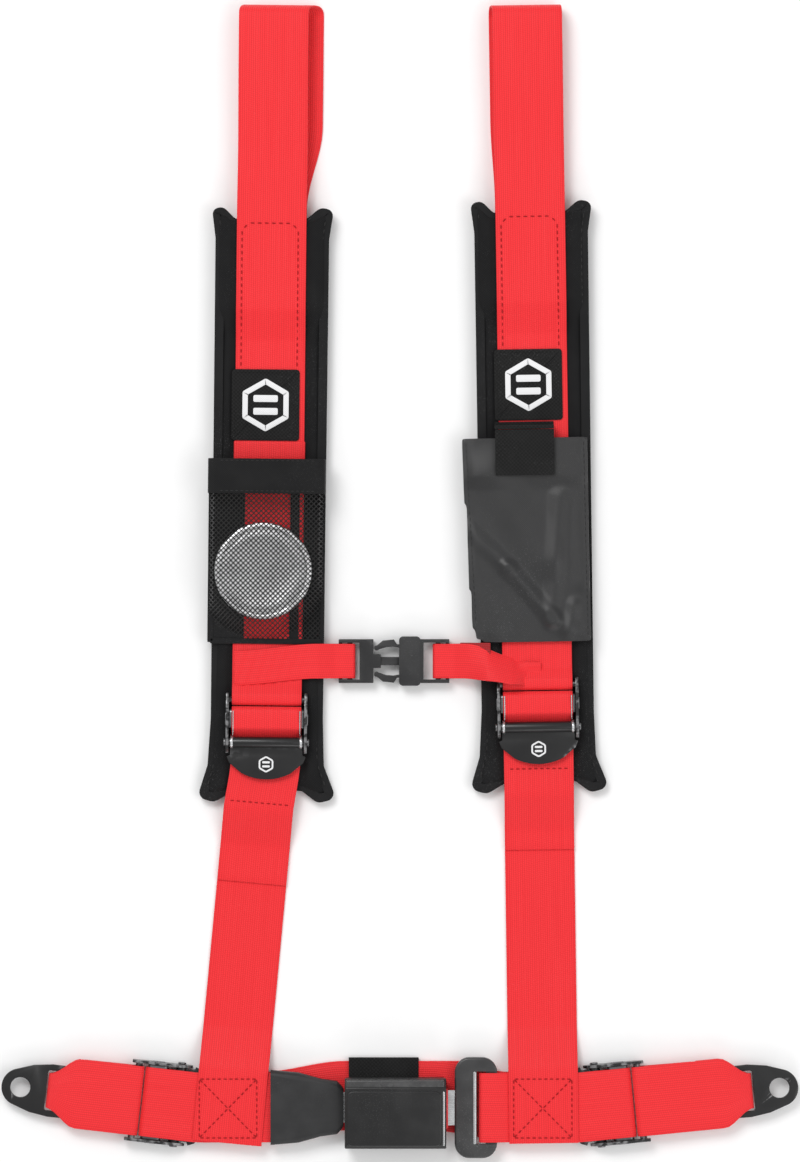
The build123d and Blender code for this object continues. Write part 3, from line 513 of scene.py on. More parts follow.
def belt_weave():
    """Warp ribs of webbing with a herringbone step, and how far each point lies down in them."""
    tree, given, result = group("belt_weave",
                                [("Vector", "Vector", None), ("Pitch", "Float", 0.002)],
                                [("Height", "Float"), ("Yarn", "Float"), ("Selvage", "Float")])
    parts = node(tree, "SeparateXYZ", {0: given["Vector"]})
    across = maths(tree, "DIVIDE", parts.outputs[0], given["Pitch"])
    along = maths(tree, "DIVIDE", parts.outputs[1], given["Pitch"])
    rib = maths(tree, "ABSOLUTE", maths(tree, "SINE", maths(tree, "MULTIPLY", across, pi)))
    column = maths(tree, "FLOOR", across)
    turn = maths(tree, "MULTIPLY", maths(tree, "PINGPONG", column, 4.0), 0.25)
    step = maths(tree, "SINE", maths(tree, "MULTIPLY", maths(tree, "ADD", along, turn), 2 * pi))
    stepped = maths(tree, "ADD", maths(tree, "MULTIPLY", step, 0.3), 0.7)
    raised = maths(tree, "MULTIPLY", rib, stepped)
    tree.links.new(raised, result["Height"])
    streaks = node(tree, "Mapping", {0: given["Vector"], 3: (900, 14, 1)})
    yarns = node(tree, "TexNoise", {0: streaks.outputs[0], "Scale": 1.0, "Detail": 2.0})
    tree.links.new(yarns.outputs[0], result["Yarn"])
    edge = maths(tree, "ABSOLUTE", parts.outputs[0])
    tree.links.new(ranged(tree, edge, 0.0228, 0.0254), result["Selvage"])
    return tree


def cloth_weave():
    """Plain weave of a flat cloth."""
    tree, given, result = group("cloth_weave",
                                [("Vector", "Vector", None), ("Pitch", "Float", 0.001)],
                                [("Height", "Float"), ("Mottle", "Float")])
    parts = node(tree, "SeparateXYZ", {0: given["Vector"]})
    waves = []
    for axis in (0, 1):
        counted = maths(tree, "DIVIDE", parts.outputs[axis], given["Pitch"])
        scaled = maths(tree, "MULTIPLY", counted, pi)
        waves.append(maths(tree, "SINE", scaled))
    product = maths(tree, "MULTIPLY", waves[0], waves[1])
    tree.links.new(maths(tree, "ADD", maths(tree, "MULTIPLY", product, 0.5), 0.5), result["Height"])
    patches = node(tree, "TexNoise", {0: given["Vector"], "Scale": 45.0, "Detail": 4.0})
    tree.links.new(patches.outputs[0], result["Mottle"])
    return tree


def grain():
    """Fine moulded or cast grain, and a slower change of tone over it."""
    tree, given, result = group("grain", [("Vector", "Vector", None), ("Scale", "Float", 1500.0)],
                                [("Height", "Float"), ("Mottle", "Float")])
    fine = node(tree, "TexNoise", {0: given["Vector"], "Scale": given["Scale"], "Detail": 3.0})
    slow = node(tree, "TexNoise", {0: given["Vector"], "Scale": 60.0, "Detail": 5.0})
    tree.links.new(fine.outputs[0], result["Height"])
    tree.links.new(slow.outputs[0], result["Mottle"])
    return tree


def edge_wear():
    """Mask of rubbed edges, broken up so that the wear is uneven."""
    tree, given, result = group("edge_wear", [("Vector", "Vector", None), ("Amount", "Float", 0.5)],
                                [("Mask", "Float")])
    sharp = node(tree, "NewGeometry").outputs["Pointiness"]
    rubbed = ranged(tree, sharp, 0.57, 0.70)
    uneven = node(tree, "TexNoise", {0: given["Vector"], "Scale": 220.0, "Detail": 6.0})
    broken = ranged(tree, uneven.outputs[0], 0.42, 0.62)
    mask = maths(tree, "MULTIPLY", maths(tree, "MULTIPLY", rubbed, broken), given["Amount"])
    tree.links.new(mask, result["Mask"])
    return tree


def dust():
    """Light lint and dust: fine specks gathered into cloudy patches."""
    tree, given, result = group("dust", [("Vector", "Vector", None), ("Amount", "Float", 0.1)],
                                [("Mask", "Float")])
    specks = node(tree, "TexNoise", {0: given["Vector"], "Scale": 1500.0, "Detail": 1.0})
    clouds = node(tree, "TexNoise", {0: given["Vector"], "Scale": 18.0, "Detail": 3.0})
    spots = ranged(tree, specks.outputs[0], 0.64, 0.72)
    film = ranged(tree, clouds.outputs[0], 0.40, 0.75)
    both = maths(tree, "MULTIPLY", spots, film)
    tree.links.new(maths(tree, "MULTIPLY", both, given["Amount"]), result["Mask"])
    return tree


GROUPS = {"belt_weave": belt_weave(), "cloth_weave": cloth_weave(), "grain": grain(),
          "edge_wear": edge_wear(), "dust": dust()}


def use(tree, name, values):
    made = tree.nodes.new("ShaderNodeGroup")
    made.node_tree = GROUPS[name]
    for key, value in values.items():
        if isinstance(value, bpy.types.NodeSocket):
            tree.links.new(value, made.inputs[key])
        else:
            made.inputs[key].default_value = value
    return made.outputs


def material(name, colour, **constants):
    """A material with its shader, its base colour for flat views, and its object coordinates."""
    made = bpy.data.materials.new(name)
    made.use_nodes = True
    made.diffuse_color = (*colour, 1)
    tree = made.node_tree
    shader = tree.nodes["Principled BSDF"]
    for key, value in constants.items():
        shader.inputs[key.replace("_", " ")].default_value = value
    where = node(tree, "TexCoord")
    return made, tree, shader, where.outputs["Object"]


def bump(tree, shader, height, strength, distance):
    made = node(tree, "Bump", {"Height": height, "Strength": strength, "Distance": distance})
    tree.links.new(made.outputs[0], shader.inputs["Normal"])


def paint(tree, shader, colour, roughness=None):
    tree.links.new(colour, shader.inputs["Base Color"])
    if roughness is not None:
        tree.links.new(roughness, shader.inputs["Roughness"])


def rgba(colour):
    return (*colour, 1.0)


def webbing_material(name, bright, deep, pitch=1.6 * MM):
    made, tree, shader, _ = material(name, bright, Sheen_Weight=0.12, Sheen_Roughness=0.5,
                                     Specular_IOR_Level=0.28)
    cloth = node(tree, "UVMap", uv_map="UVMap").outputs[0]
    weave = use(tree, "belt_weave", {"Vector": cloth, "Pitch": pitch})
    # Painted light and shade on the weave: the grooves between the ribs take the deep colour as
    # painted shade, and the rib tops take the bright colour as painted highlight; random yarn
    # streaks then vary the tone.
    low = ranged(tree, weave["Height"], 0.0, 0.75)
    tone = maths(tree, "MULTIPLY", low, ranged(tree, weave["Yarn"], 0.2, 0.75, 0.72, 1.0))
    colour = blend_colours(tree, tone, rgba(deep), rgba(bright))
    edge = maths(tree, "MULTIPLY", weave["Selvage"], 0.35)
    colour = blend_colours(tree, edge, colour, rgba(deep))
    lint = use(tree, "dust", {"Vector": node(tree, "TexCoord").outputs["Object"], "Amount": 0.10})
    colour = blend_colours(tree, lint["Mask"], colour, (0.9, 0.3, 0.3, 1))
    paint(tree, shader, colour, ranged(tree, weave["Yarn"], 0.2, 0.8, 0.62, 0.46))
    bump(tree, shader, weave["Height"], 0.55, 0.00035)
    return made


def cloth_material(name, colour, lit, pitch, roughness=0.85, sheen=0.10, strength=0.5,
                   folds=0.0, lint=0.2, shine=0.12):
    made, tree, shader, where = material(name, colour, Sheen_Weight=sheen, Sheen_Roughness=0.45,
                                         Specular_IOR_Level=shine)
    weave = use(tree, "cloth_weave", {"Vector": where, "Pitch": pitch})
    # Painted light and shade on the weave: raised threads take the lit colour as painted highlight
    # and the hollows between them take the darker colour as painted shade; random mottle then
    # lightens it in patches.
    tone = blend_colours(tree, weave["Height"], rgba(colour), rgba(lit))
    tone = blend_colours(tree, ranged(tree, weave["Mottle"], 0.35, 0.8, 0.0, 0.35), tone, rgba(lit))
    specks = use(tree, "dust", {"Vector": where, "Amount": lint})
    tone = blend_colours(tree, specks["Mask"], tone, (0.32, 0.32, 0.33, 1))
    paint(tree, shader, tone, ranged(tree, weave["Mottle"], 0.3, 0.8, roughness, roughness - 0.12))
    height = maths(tree, "ADD", maths(tree, "MULTIPLY", weave["Height"], 0.5),
                   maths(tree, "MULTIPLY", weave["Mottle"], 1.0 + folds))
    bump(tree, shader, height, strength, 0.0004 + 0.0006 * folds)
    return made


def moulded_material(name, colour, lit, roughness, scale, coat=0.0, wear=0.4, strength=0.15):
    made, tree, shader, where = material(name, colour, Specular_IOR_Level=0.35, Coat_Weight=coat,
                                         Coat_Roughness=0.2)
    skin = use(tree, "grain", {"Vector": where, "Scale": scale})
    rub = use(tree, "edge_wear", {"Vector": where, "Amount": wear})
    tone = blend_colours(tree, ranged(tree, skin["Mottle"], 0.3, 0.8), rgba(colour), rgba(lit))
    worn = tuple(min(1.0, c * 3.2 + 0.03) for c in colour)
    tone = blend_colours(tree, rub["Mask"], tone, rgba(worn))
    specks = use(tree, "dust", {"Vector": where, "Amount": 0.18})
    tone = blend_colours(tree, specks["Mask"], tone, (0.4, 0.4, 0.4, 1))
    paint(tree, shader, tone,
          ranged(tree, skin["Mottle"], 0.3, 0.8, roughness - 0.05, roughness + 0.08))
    bump(tree, shader, skin["Height"], strength, 0.0002)
    return made


def painted_steel(name, colour, bare, roughness, wear):
    made, tree, shader, where = material(name, colour, Specular_IOR_Level=0.4, Coat_Weight=0.2,
                                         Coat_Roughness=0.18)
    skin = use(tree, "grain", {"Vector": where, "Scale": 900.0})
    rub = use(tree, "edge_wear", {"Vector": where, "Amount": wear})
    tone = blend_colours(tree, rub["Mask"], rgba(colour), rgba(bare))
    paint(tree, shader, tone,
          ranged(tree, skin["Mottle"], 0.3, 0.8, roughness, roughness + 0.14))
    tree.links.new(rub["Mask"], shader.inputs["Metallic"])
    bump(tree, shader, skin["Height"], 0.12, 0.0002)
    return made


def bright_steel(name, colour, roughness):
    made, tree, shader, where = material(name, colour, Metallic=1.0)
    skin = use(tree, "grain", {"Vector": where, "Scale": 500.0})
    brushed = node(tree, "Mapping", {0: where, 3: (60, 2500, 60)})
    lines = node(tree, "TexNoise", {0: brushed.outputs[0], "Scale": 1.0, "Detail": 3.0})
    darker = tuple(c * 0.72 for c in colour)
    tone = blend_colours(tree, ranged(tree, skin["Mottle"], 0.3, 0.8), rgba(colour), rgba(darker))
    paint(tree, shader, tone,
          ranged(tree, lines.outputs[0], 0.3, 0.7, roughness - 0.06, roughness + 0.12))
    bump(tree, shader, lines.outputs[0], 0.1, 0.0002)
    return made


# Red webbing: the bright colour is painted on the rib tops as highlight and the deep colour in the
# grooves as shade.
webbing = webbing_material("red_webbing", (0.92, 0.026, 0.033), (0.70, 0.014, 0.019))
red_thread = cloth_material("red_thread", (0.24, 0.005, 0.007), (0.44, 0.010, 0.013), 0.4 * MM,
                            roughness=0.5, lint=0.05)
black_thread = cloth_material("black_thread", (0.012, 0.012, 0.012), (0.04, 0.04, 0.04), 0.4 * MM,
                              roughness=0.5, lint=0.05)
pad_cloth = cloth_material("pad_cloth", (0.006, 0.006, 0.0064), (0.014, 0.014, 0.0146), 0.9 * MM,
                           sheen=0.08)
pad_tape = cloth_material("binding_tape", (0.008, 0.008, 0.008), (0.020, 0.020, 0.021), 0.6 * MM)
net_yarn = cloth_material("net_yarn", (0.014, 0.014, 0.014), (0.035, 0.035, 0.035), 0.3 * MM,
                          roughness=0.6, lint=0.05)
coated_nylon = cloth_material("coated_nylon", (0.011, 0.011, 0.0114), (0.019, 0.019, 0.0198),
                              0.7 * MM, roughness=0.42, sheen=0.06, folds=0.4, shine=0.5,
                              strength=0.3)
hook_cloth = cloth_material("hook_cloth", (0.007, 0.007, 0.007), (0.018, 0.018, 0.018), 1.4 * MM,
                            strength=0.9)
badge_white = cloth_material("badge_white", (0.72, 0.72, 0.73), (0.86, 0.86, 0.87), 0.8 * MM,
                             sheen=0.1, roughness=0.7, lint=0.0)
black_steel = painted_steel("black_steel", (0.006, 0.006, 0.0065), (0.45, 0.45, 0.46), 0.30, 0.5)
zinc_steel = bright_steel("zinc_steel", (0.66, 0.67, 0.68), 0.26)
dark_steel = bright_steel("dark_steel", (0.20, 0.20, 0.205), 0.30)
black_plastic = moulded_material("black_plastic", (0.016, 0.016, 0.017), (0.028, 0.028, 0.029),
                                 0.42, 1500.0, coat=0.12)
grip_coating = moulded_material("grip_coating", (0.030, 0.030, 0.031), (0.050, 0.050, 0.051),
                                0.36, 1100.0, coat=0.3, strength=0.15)
cover_plastic = moulded_material("cover_plastic", (0.010, 0.010, 0.0105), (0.016, 0.016, 0.0165),
                                 0.34, 1700.0, coat=0.15, wear=0.25, strength=0.12)
# Lighter copy of the cover plastic: painted highlight for the buckle's ridge, where it catches the
# light.
highlit_ridge_plastic = moulded_material("highlit_ridge_plastic", (0.045, 0.045, 0.046), (0.065, 0.065, 0.066),
                                 0.30, 1700.0, coat=0.2, wear=0.2, strength=0.1)
boot_rubber = moulded_material("boot_rubber", (0.018, 0.018, 0.019), (0.030, 0.030, 0.031),
                               0.55, 1300.0, wear=0.2, strength=0.25)
button_plastic = moulded_material("button_plastic", (0.62, 0.012, 0.016), (0.78, 0.02, 0.025),
                                  0.30, 1200.0, coat=0.4)
tin_metal = bright_steel("tin_metal", (0.78, 0.78, 0.79), 0.38)


# ---------------------------------------------------------------- cut shapes
def cut_out(name, outline, low, high):
    """A flat blank cut to an outline of points, with its thickness pulled up from its face."""
    clear_selection()
    bpy.ops.mesh.primitive_circle_add(vertices=len(outline), radius=1, fill_type="NGON")
    blank = active(name)
    for vertex, spot in zip(blank.data.vertices, outline):
        vertex.co = (spot[0], spot[1], low)
    bpy.ops.object.mode_set(mode="EDIT")
    bpy.ops.mesh.select_all(action="SELECT")
    bpy.ops.mesh.extrude_region_move(TRANSFORM_OT_translate={"value": (0, 0, high - low)})
    bpy.ops.object.mode_set(mode="OBJECT")
    outward(blank)
    return blank


def soft_corners(corners, radius, step=24):
    """Outline points with each corner rounded."""
    line = []
    count = len(corners)
    for index in range(count):
        before = Vector(corners[index - 1])
        corner = Vector(corners[index])
        after = Vector(corners[(index + 1) % count])
        back = (before - corner).normalized()
        ahead = (after - corner).normalized()
        half = back.angle(ahead) / 2
        cut = min(radius / tan(half), 0.45 * (before - corner).length,
                  0.45 * (after - corner).length)
        size = cut * tan(half)
        if size < 0.01 * MM:
            line.append(corner)
            continue
        centre = corner + (back + ahead).normalized() * (size / sin(half))
        start = corner + back * cut
        sweep = pi - 2 * half
        turn = 1 if back.x * ahead.y - back.y * ahead.x < 0 else -1
        steps = max(1, int(sweep / radians(step)) + 1)
        for part in range(steps + 1):
            line.append(centre + Matrix.Rotation(turn * sweep * part / steps, 2) @ (start - centre))
    return line


def rectangle(left, right, low, high):
    return [(left, low), (right, low), (right, high), (left, high)]


def rounded_box(left, right, low, high, radius):
    return soft_corners(rectangle(left, right, low, high), radius)


def lay(piece, plan):
    """Moves a piece made in belt coordinates to its place on a belt's plan."""
    for vertex in piece.data.vertices:
        spot, across = plan(vertex.co.y)
        spot = spot + across * vertex.co.x
        vertex.co = (spot.x, spot.y, vertex.co.z)
    return piece


def seam_row(name, start, end, plan, height, pitch=4.2 * MM, size=0.55 * MM, gap=0.26):
    """Lock stitches in a row: one rounded thread loop, copied along the seam."""
    a = Vector((start[0], start[1], 0))
    b = Vector((end[0], end[1], 0))
    run = (b - a).length
    count = max(1, int(run / pitch))
    ahead = (b - a).normalized()
    sideways = Vector((-ahead.y, ahead.x, 0))
    clear_selection()
    bpy.ops.mesh.primitive_uv_sphere_add(segments=6, ring_count=5, radius=1)
    stitch = active(name)
    length = pitch * (1 - gap) / 2
    template = [vertex.co.copy() for vertex in stitch.data.vertices]
    copies = []
    for index in range(count):
        middle = a + ahead * (run * (index + 0.5) / count)
        thread = stitch.copy()
        thread.data = stitch.data.copy()
        bpy.context.scene.collection.objects.link(thread)
        for vertex, spot in zip(thread.data.vertices, template):
            flat = middle + ahead * spot.x * length + sideways * spot.y * size
            place_at, across = plan(flat.y)
            at = place_at + across * flat.x
            base = height(flat.x, flat.y) if callable(height) else height
            vertex.co = (at.x, at.y, base + spot.z * size * 0.8)
        copies.append(thread)
    bpy.data.objects.remove(stitch)
    return copies


def stitched(name, rows, plan, height, body, thread, slot, pitch=4.2 * MM, size=0.55 * MM):
    loops = []
    for start, end in rows:
        loops += seam_row(name, start, end, plan, height, pitch, size)
    piece = join(name, loops)
    smooth(piece, 60)
    return place(piece, body, thread, slot)


def box_and_cross(left, right, low, high):
    return [((left, low), (right, low)), ((right, low), (right, high)),
            ((right, high), (left, high)), ((left, high), (left, low)),
            ((left, low), (right, high)), ((left, high), (right, low))]


# ---------------------------------------------------------------- pads
SIDEWAYS = 0.1
SWELL_FRAMES = 20


def stuffed(piece, voxel, pressure, cap, limit):
    """Swells a closed shape like a filled cushion, each point kept within its cap and limit.

    The sewn outline holds its place, so only a small share of the sideways motion is kept.
    """
    modify(piece, "REMESH", mode="VOXEL", voxel_size=voxel)
    pick(piece)
    modify(piece, "SMOOTH", factor=0.5, iterations=3)
    start = [vertex.co.copy() for vertex in piece.data.vertices]
    pick(piece)
    cloth = piece.modifiers.new("Cloth", "CLOTH")
    cloth.settings.use_pressure = True
    cloth.settings.uniform_pressure_force = pressure
    cloth.settings.effector_weights.gravity = 0
    cloth.settings.quality = 4
    cloth.settings.tension_stiffness = 8
    cloth.settings.mass = 0.2
    cloth.point_cache.frame_start = 1
    cloth.point_cache.frame_end = SWELL_FRAMES
    for step in range(1, SWELL_FRAMES + 1):
        bpy.context.scene.frame_set(step)
    evaluated = piece.evaluated_get(bpy.context.evaluated_depsgraph_get())
    swollen = [vertex.co.copy() for vertex in evaluated.to_mesh().vertices]
    evaluated.to_mesh_clear()
    piece.modifiers.remove(cloth)
    bpy.context.scene.frame_set(1)
    for vertex, was, now in zip(piece.data.vertices, start, swollen):
        shift = now - was
        shift.x *= SIDEWAYS
        shift.y *= SIDEWAYS
        if shift.length > cap:
            shift = shift.normalized() * cap
        vertex.co = was + shift
    modify(piece, "SUBSURF", levels=1, render_levels=1)
    for vertex in piece.data.vertices:
        vertex.co = limit(vertex.co.copy())
    outward(piece)
    smooth(piece, 60)
    return piece


def shoulder_pad(name, side):
    """Pad with flared ears, crowned each side of the belt and bound with tape round its edge."""
    top = side["pad_top"] / MM
    end = side["pad_end"] / MM
    corners = [
        (-42.5, top - 2), (-36, top), (-27, top - 9), (25, top - 9), (36, top), (44, top - 2),
        (41, top - 22), (40, end + 60), (41, end + 26), (50, end + 3), (38, end), (26, end + 9),
        (-26, end + 7), (-38, end), (-49, end + 3), (-42, end + 26), (-40, end + 60),
        (-40, top - 22),
    ]
    outline = soft_corners([(u * MM, v * MM) for u, v in reversed(corners)], 6 * MM)
    hump_from = (top - 92) * MM
    hump_to = (top - 68) * MM

    def hump(v):
        return PAD_HUMP * ease((v - hump_from) / (hump_to - hump_from))

    def limit(spot):
        u, v = spot.x, spot.y
        crown = 1.6 * MM * ease((abs(u) - 27 * MM) / (4 * MM)) * ease((41 * MM - abs(u)) / (9 * MM))
        dimples = 0.35 * MM * noise.noise(Vector((u * 90, v * 55, len(name))))
        high = PAD_THICK - 0.2 * MM + crown + min(0.0, dimples - 0.1 * MM)
        spot.z = min(max(spot.z, 0.15 * MM), high) + hump(v)
        return spot

    plan = shoulder_plan(side)
    piece = cut_out(f"shoulder_pad_{name}", outline, 0.8 * MM, 7.6 * MM)
    stuffed(piece, 3.6 * MM, 4.0, 5 * MM, limit)
    lay(piece, plan)
    place(piece, f"{name}_half", pad_cloth, "fabric_black", f"pad_cover_{name}",
          f"pad_backing_{name}", f"pad_foam_{name}")

    tape = cut_out(f"pad_binding_{name}", outline, 2.3 * MM, 6.7 * MM)
    pick_faces(tape, lambda face: abs(face.normal.z) > 0.9)
    bpy.ops.mesh.inset(thickness=5.5 * MM, depth=0)
    bpy.ops.mesh.delete(type="FACE")
    bpy.ops.object.mode_set(mode="OBJECT")
    modify(tape, "SOLIDIFY", thickness=1.2 * MM, offset=0.6, use_even_offset=True)
    bevelled(tape, 0.8 * MM, 3, 40, use_clamp_overlap=True)
    for vertex in tape.data.vertices:
        vertex.co.z += hump(vertex.co.y)
    lay(tape, plan)
    outward(tape)
    smooth(tape, 60)
    place(tape, f"{name}_half", pad_tape, "fabric_black")

    rows = []
    inner = soft_corners([(u * 0.90 * MM, (v - (top + end) / 2) * 0.985 * MM + (top + end) / 2 * MM)
                          for u, v in corners], 9 * MM, 40)
    for first, second in zip(inner, inner[1:] + inner[:1]):
        if (second - first).length > 6 * MM:
            rows.append((first, second))
    stitched(f"pad_stitching_{name}", rows, plan,
             lambda u, v: PAD_THICK - 0.7 * MM + hump(v), f"{name}_half", black_thread,
             "fabric_black", pitch=5 * MM)


# ---------------------------------------------------------------- patches and emblem
def emblem(name, middle, size, low, body, plan):
    """Plain hexagonal ring with two bars, raised in white thread."""
    parts = []
    ring = []
    for corner in range(6):
        turn = radians(60 * corner + 30)
        ring.append((middle[0] + size * cos(turn), middle[1] + size * sin(turn)))
    plate = cut_out(name, soft_corners(ring, 2.2 * MM), low, low + 0.5 * MM)
    pick_faces(plate, lambda face: abs(face.normal.z) > 0.9)
    bpy.ops.mesh.inset(thickness=size * 0.20, depth=0)
    bpy.ops.mesh.bridge_edge_loops()
    bpy.ops.object.mode_set(mode="OBJECT")
    parts.append(plate)
    for lift in (-0.24, 0.24):
        half = size * 0.46
        bar = rectangle(middle[0] - half, middle[0] + half, middle[1] + size * (lift - 0.13),
                        middle[1] + size * (lift + 0.13))
        parts.append(cut_out(name, soft_corners(bar, 1.2 * MM), low, low + 0.5 * MM))
    piece = join(name, parts)
    outward(piece)
    bevelled(piece, 0.18 * MM)
    lay(piece, plan)
    smooth(piece, 40)
    return place(piece, body, badge_white, "badge")


def patch(name, side, v):
    plan = shoulder_plan(side)
    body = f"{name}_half"
    low = STRAP_Z + WEB_THICK / 2 + 0.1 * MM
    outline = rounded_box(-28 * MM, 21.6 * MM, v - 26 * MM, v + 26 * MM, 2.5 * MM)
    piece = cut_out(f"patch_cloth_{name}", outline, low, low + 0.8 * MM)
    pick_faces(piece, lambda face: face.normal.z > 0.9)
    bpy.ops.mesh.inset(thickness=0.8 * MM, depth=0.35 * MM)
    bpy.ops.mesh.inset(thickness=1.2 * MM, depth=0)
    bpy.ops.mesh.inset(thickness=0.6 * MM, depth=-0.35 * MM)
    bpy.ops.object.mode_set(mode="OBJECT")
    bevelled(piece, 0.2 * MM, 2, 30)
    lay(piece, plan)
    smooth(piece, 40)
    place(piece, body, hook_cloth, "fabric_black", f"patch_{name}")
    emblem(f"patch_emblem_{name}", (-3.2 * MM, v), 19.5 * MM, low + 0.75 * MM, body, plan)


for side_name, side_sizes in SIDES.items():
    shoulder_belt(side_name, side_sizes)
    lower_belt(side_name, side_sizes)
    outer_lap_belt(side_name, side_sizes)
    shoulder_pad(side_name, side_sizes)
patch("left", SIDES["left"], 128.5 * MM)
patch("right", SIDES["right"], 143.4 * MM)


def narrow_left(spot):
    """Gathers the webbing into the buckle frame's narrow slot."""
    near = ease((-spot.y - 85 * MM) / (34 * MM))
    spot.x *= 1 - near * 0.5
    return spot


def reach_of(side, x):
    return side["out"] * (x - side["roll"])


left = SIDES["left"]
right = SIDES["right"]
left_reach = [reach_of(left, x * MM) for x in (-90, -47.4, -64, -80)]
frame_mid = 8.1 * MM
inner_lap_belt("left", left,
               [(left_reach[0], frame_mid - 2 * MM), (left_reach[1], frame_mid - 2 * MM),
                (left_reach[1], frame_mid + 2 * MM), (left_reach[2], frame_mid + 2 * MM),
                (left_reach[3], LAP_Z)],
               [1.9 * MM, 1.9 * MM, 10 * MM, 10 * MM], narrow_left)
right_reach = [reach_of(right, x * MM) for x in (94, 58.2, 70, 79)]
inner_lap_belt("right", right,
               [(right_reach[0], LAP_Z - 2.6 * MM), (right_reach[1], LAP_Z - 2.6 * MM),
                (right_reach[1], LAP_Z + 2.6 * MM), (right_reach[2], LAP_Z + 2.6 * MM),
                (right_reach[3], LAP_Z)],
               [2.5 * MM, 2.5 * MM, 6 * MM, 6 * MM])




# ---------------------------------------------------------------- belt details
def flat_plan(s):
    return Vector((0, s, 0)), Vector((1, 0, 0))


def belt_top(side):
    """Height of the shoulder belt's face along the pad."""
    low = side["pad_top"] - 96 * MM
    high = side["pad_top"] - 74 * MM

    def height(u, v):
        return STRAP_Z + WEB_THICK / 2 + PAD_HUMP * ease((v - low) / (high - low)) + 0.3 * MM
    return height


def shoulder_seams(name, side, low):
    high = side["pad_top"] - 11 * MM
    left_row = -21.5 * MM
    right_row = 19.5 * MM
    corner = 5 * MM
    rows = [((left_row, low), (left_row, high - corner)),
            ((left_row, high - corner), (left_row + corner, high)),
            ((left_row + corner, high), (right_row - corner, high)),
            ((right_row - corner, high), (right_row, high - corner)),
            ((right_row, high - corner), (right_row, low))]
    stitched(f"shoulder_stitching_{name}", rows, shoulder_plan(side), belt_top(side),
             f"{name}_half", red_thread, "webbing_red", pitch=4.6 * MM, size=0.5 * MM)


def lap_joint(name, left_edge, right_edge):
    """Box and cross stitching where the lower belt is sewn over the lap belt."""
    low = LAP_Y - 22 * MM
    high = LAP_Y + 21 * MM
    rows = box_and_cross(left_edge, right_edge, low, high)
    stitched(f"lap_stitching_{name}", rows, flat_plan, BELT_Z + WEB_THICK / 2 + 0.2 * MM,
             f"{name}_half", red_thread, "webbing_red", pitch=4.2 * MM, size=0.5 * MM)


def tail_seam(name, side, y):
    plan = lower_plan(side)
    row = y - side["adjuster"]
    face = 1.3 * MM + LAYER + WEB_THICK / 2

    def height(u, v):
        drop = ease((v + BEND_BELOW + 36 * MM) / (26 * MM))
        return face + (ROLL_Z - WRAP - 1.1 * MM) * drop
    stitched(f"tail_stitching_{name}", [((-22 * MM, row), (22 * MM, row))], plan, height,
             f"{name}_half", red_thread, "webbing_red", pitch=4.2 * MM, size=0.45 * MM)


def folded_end(name, side, v):
    """Turned-back end of the belt's top layer, sewn down below the patch."""
    line = rounded([(v - 7 * MM, STRAP_Z + 1.15 * MM), (v - 2 * MM, STRAP_Z + 1.3 * MM),
                    (v + 6 * MM, STRAP_Z + 1.25 * MM)], 4 * MM)
    piece = belt(f"webbing_end_{name}", line, shoulder_plan(side), width=WEB_WIDTH + 1.2 * MM,
                 thick=1.0 * MM, longest=2 * MM, ripple=0.1 * MM)
    place(piece, f"{name}_half", webbing, "webbing_red")


CHEST_Y = -58.5 * MM
CHEST_WIDTH = 25.4 * MM
CHEST_THICK = 1.2 * MM
CLIP_Z = 6.5 * MM
CHEST_WRAP = 2.1 * MM


def chest_plan(slant, start, far):
    """Level strap that sags towards its sewn end."""
    def plan(s):
        sag = slant * ease((s - start) / (far - start))
        return Vector((s, CHEST_Y + sag, 0)), Vector((0, -1, 0))
    return plan


def chest_belt_left():
    bar = -36.6 * MM
    high = 13.3 * MM
    points = [(-121 * MM, high), (-60.3 * MM, high), (bar - 11 * MM, CLIP_Z + CHEST_WRAP),
              (bar + 3.5 * MM, CLIP_Z + CHEST_WRAP), (bar + 3.5 * MM, CLIP_Z - CHEST_WRAP),
              (-52.3 * MM, CLIP_Z - CHEST_WRAP)]

    def ripples(spot):
        near = ease((-58 * MM - spot.y) / (25 * MM)) if spot.z > 9 * MM else 0.0
        wave = sin((spot.y + 0.35 * spot.x) * 2 * pi / (7.5 * MM))
        spot.z += 0.45 * MM * near * wave
        return spot

    piece = belt("chest_webbing_left", rounded(points, [6 * MM, 6 * MM, 2 * MM, 2 * MM]),
                 chest_plan(-5 * MM, -60 * MM, -121 * MM), width=CHEST_WIDTH, thick=CHEST_THICK,
                 shape=ripples, longest=1.5 * MM, ripple=0.2 * MM)
    place(piece, "left_half", webbing, "webbing_red", "chest_belt_left")


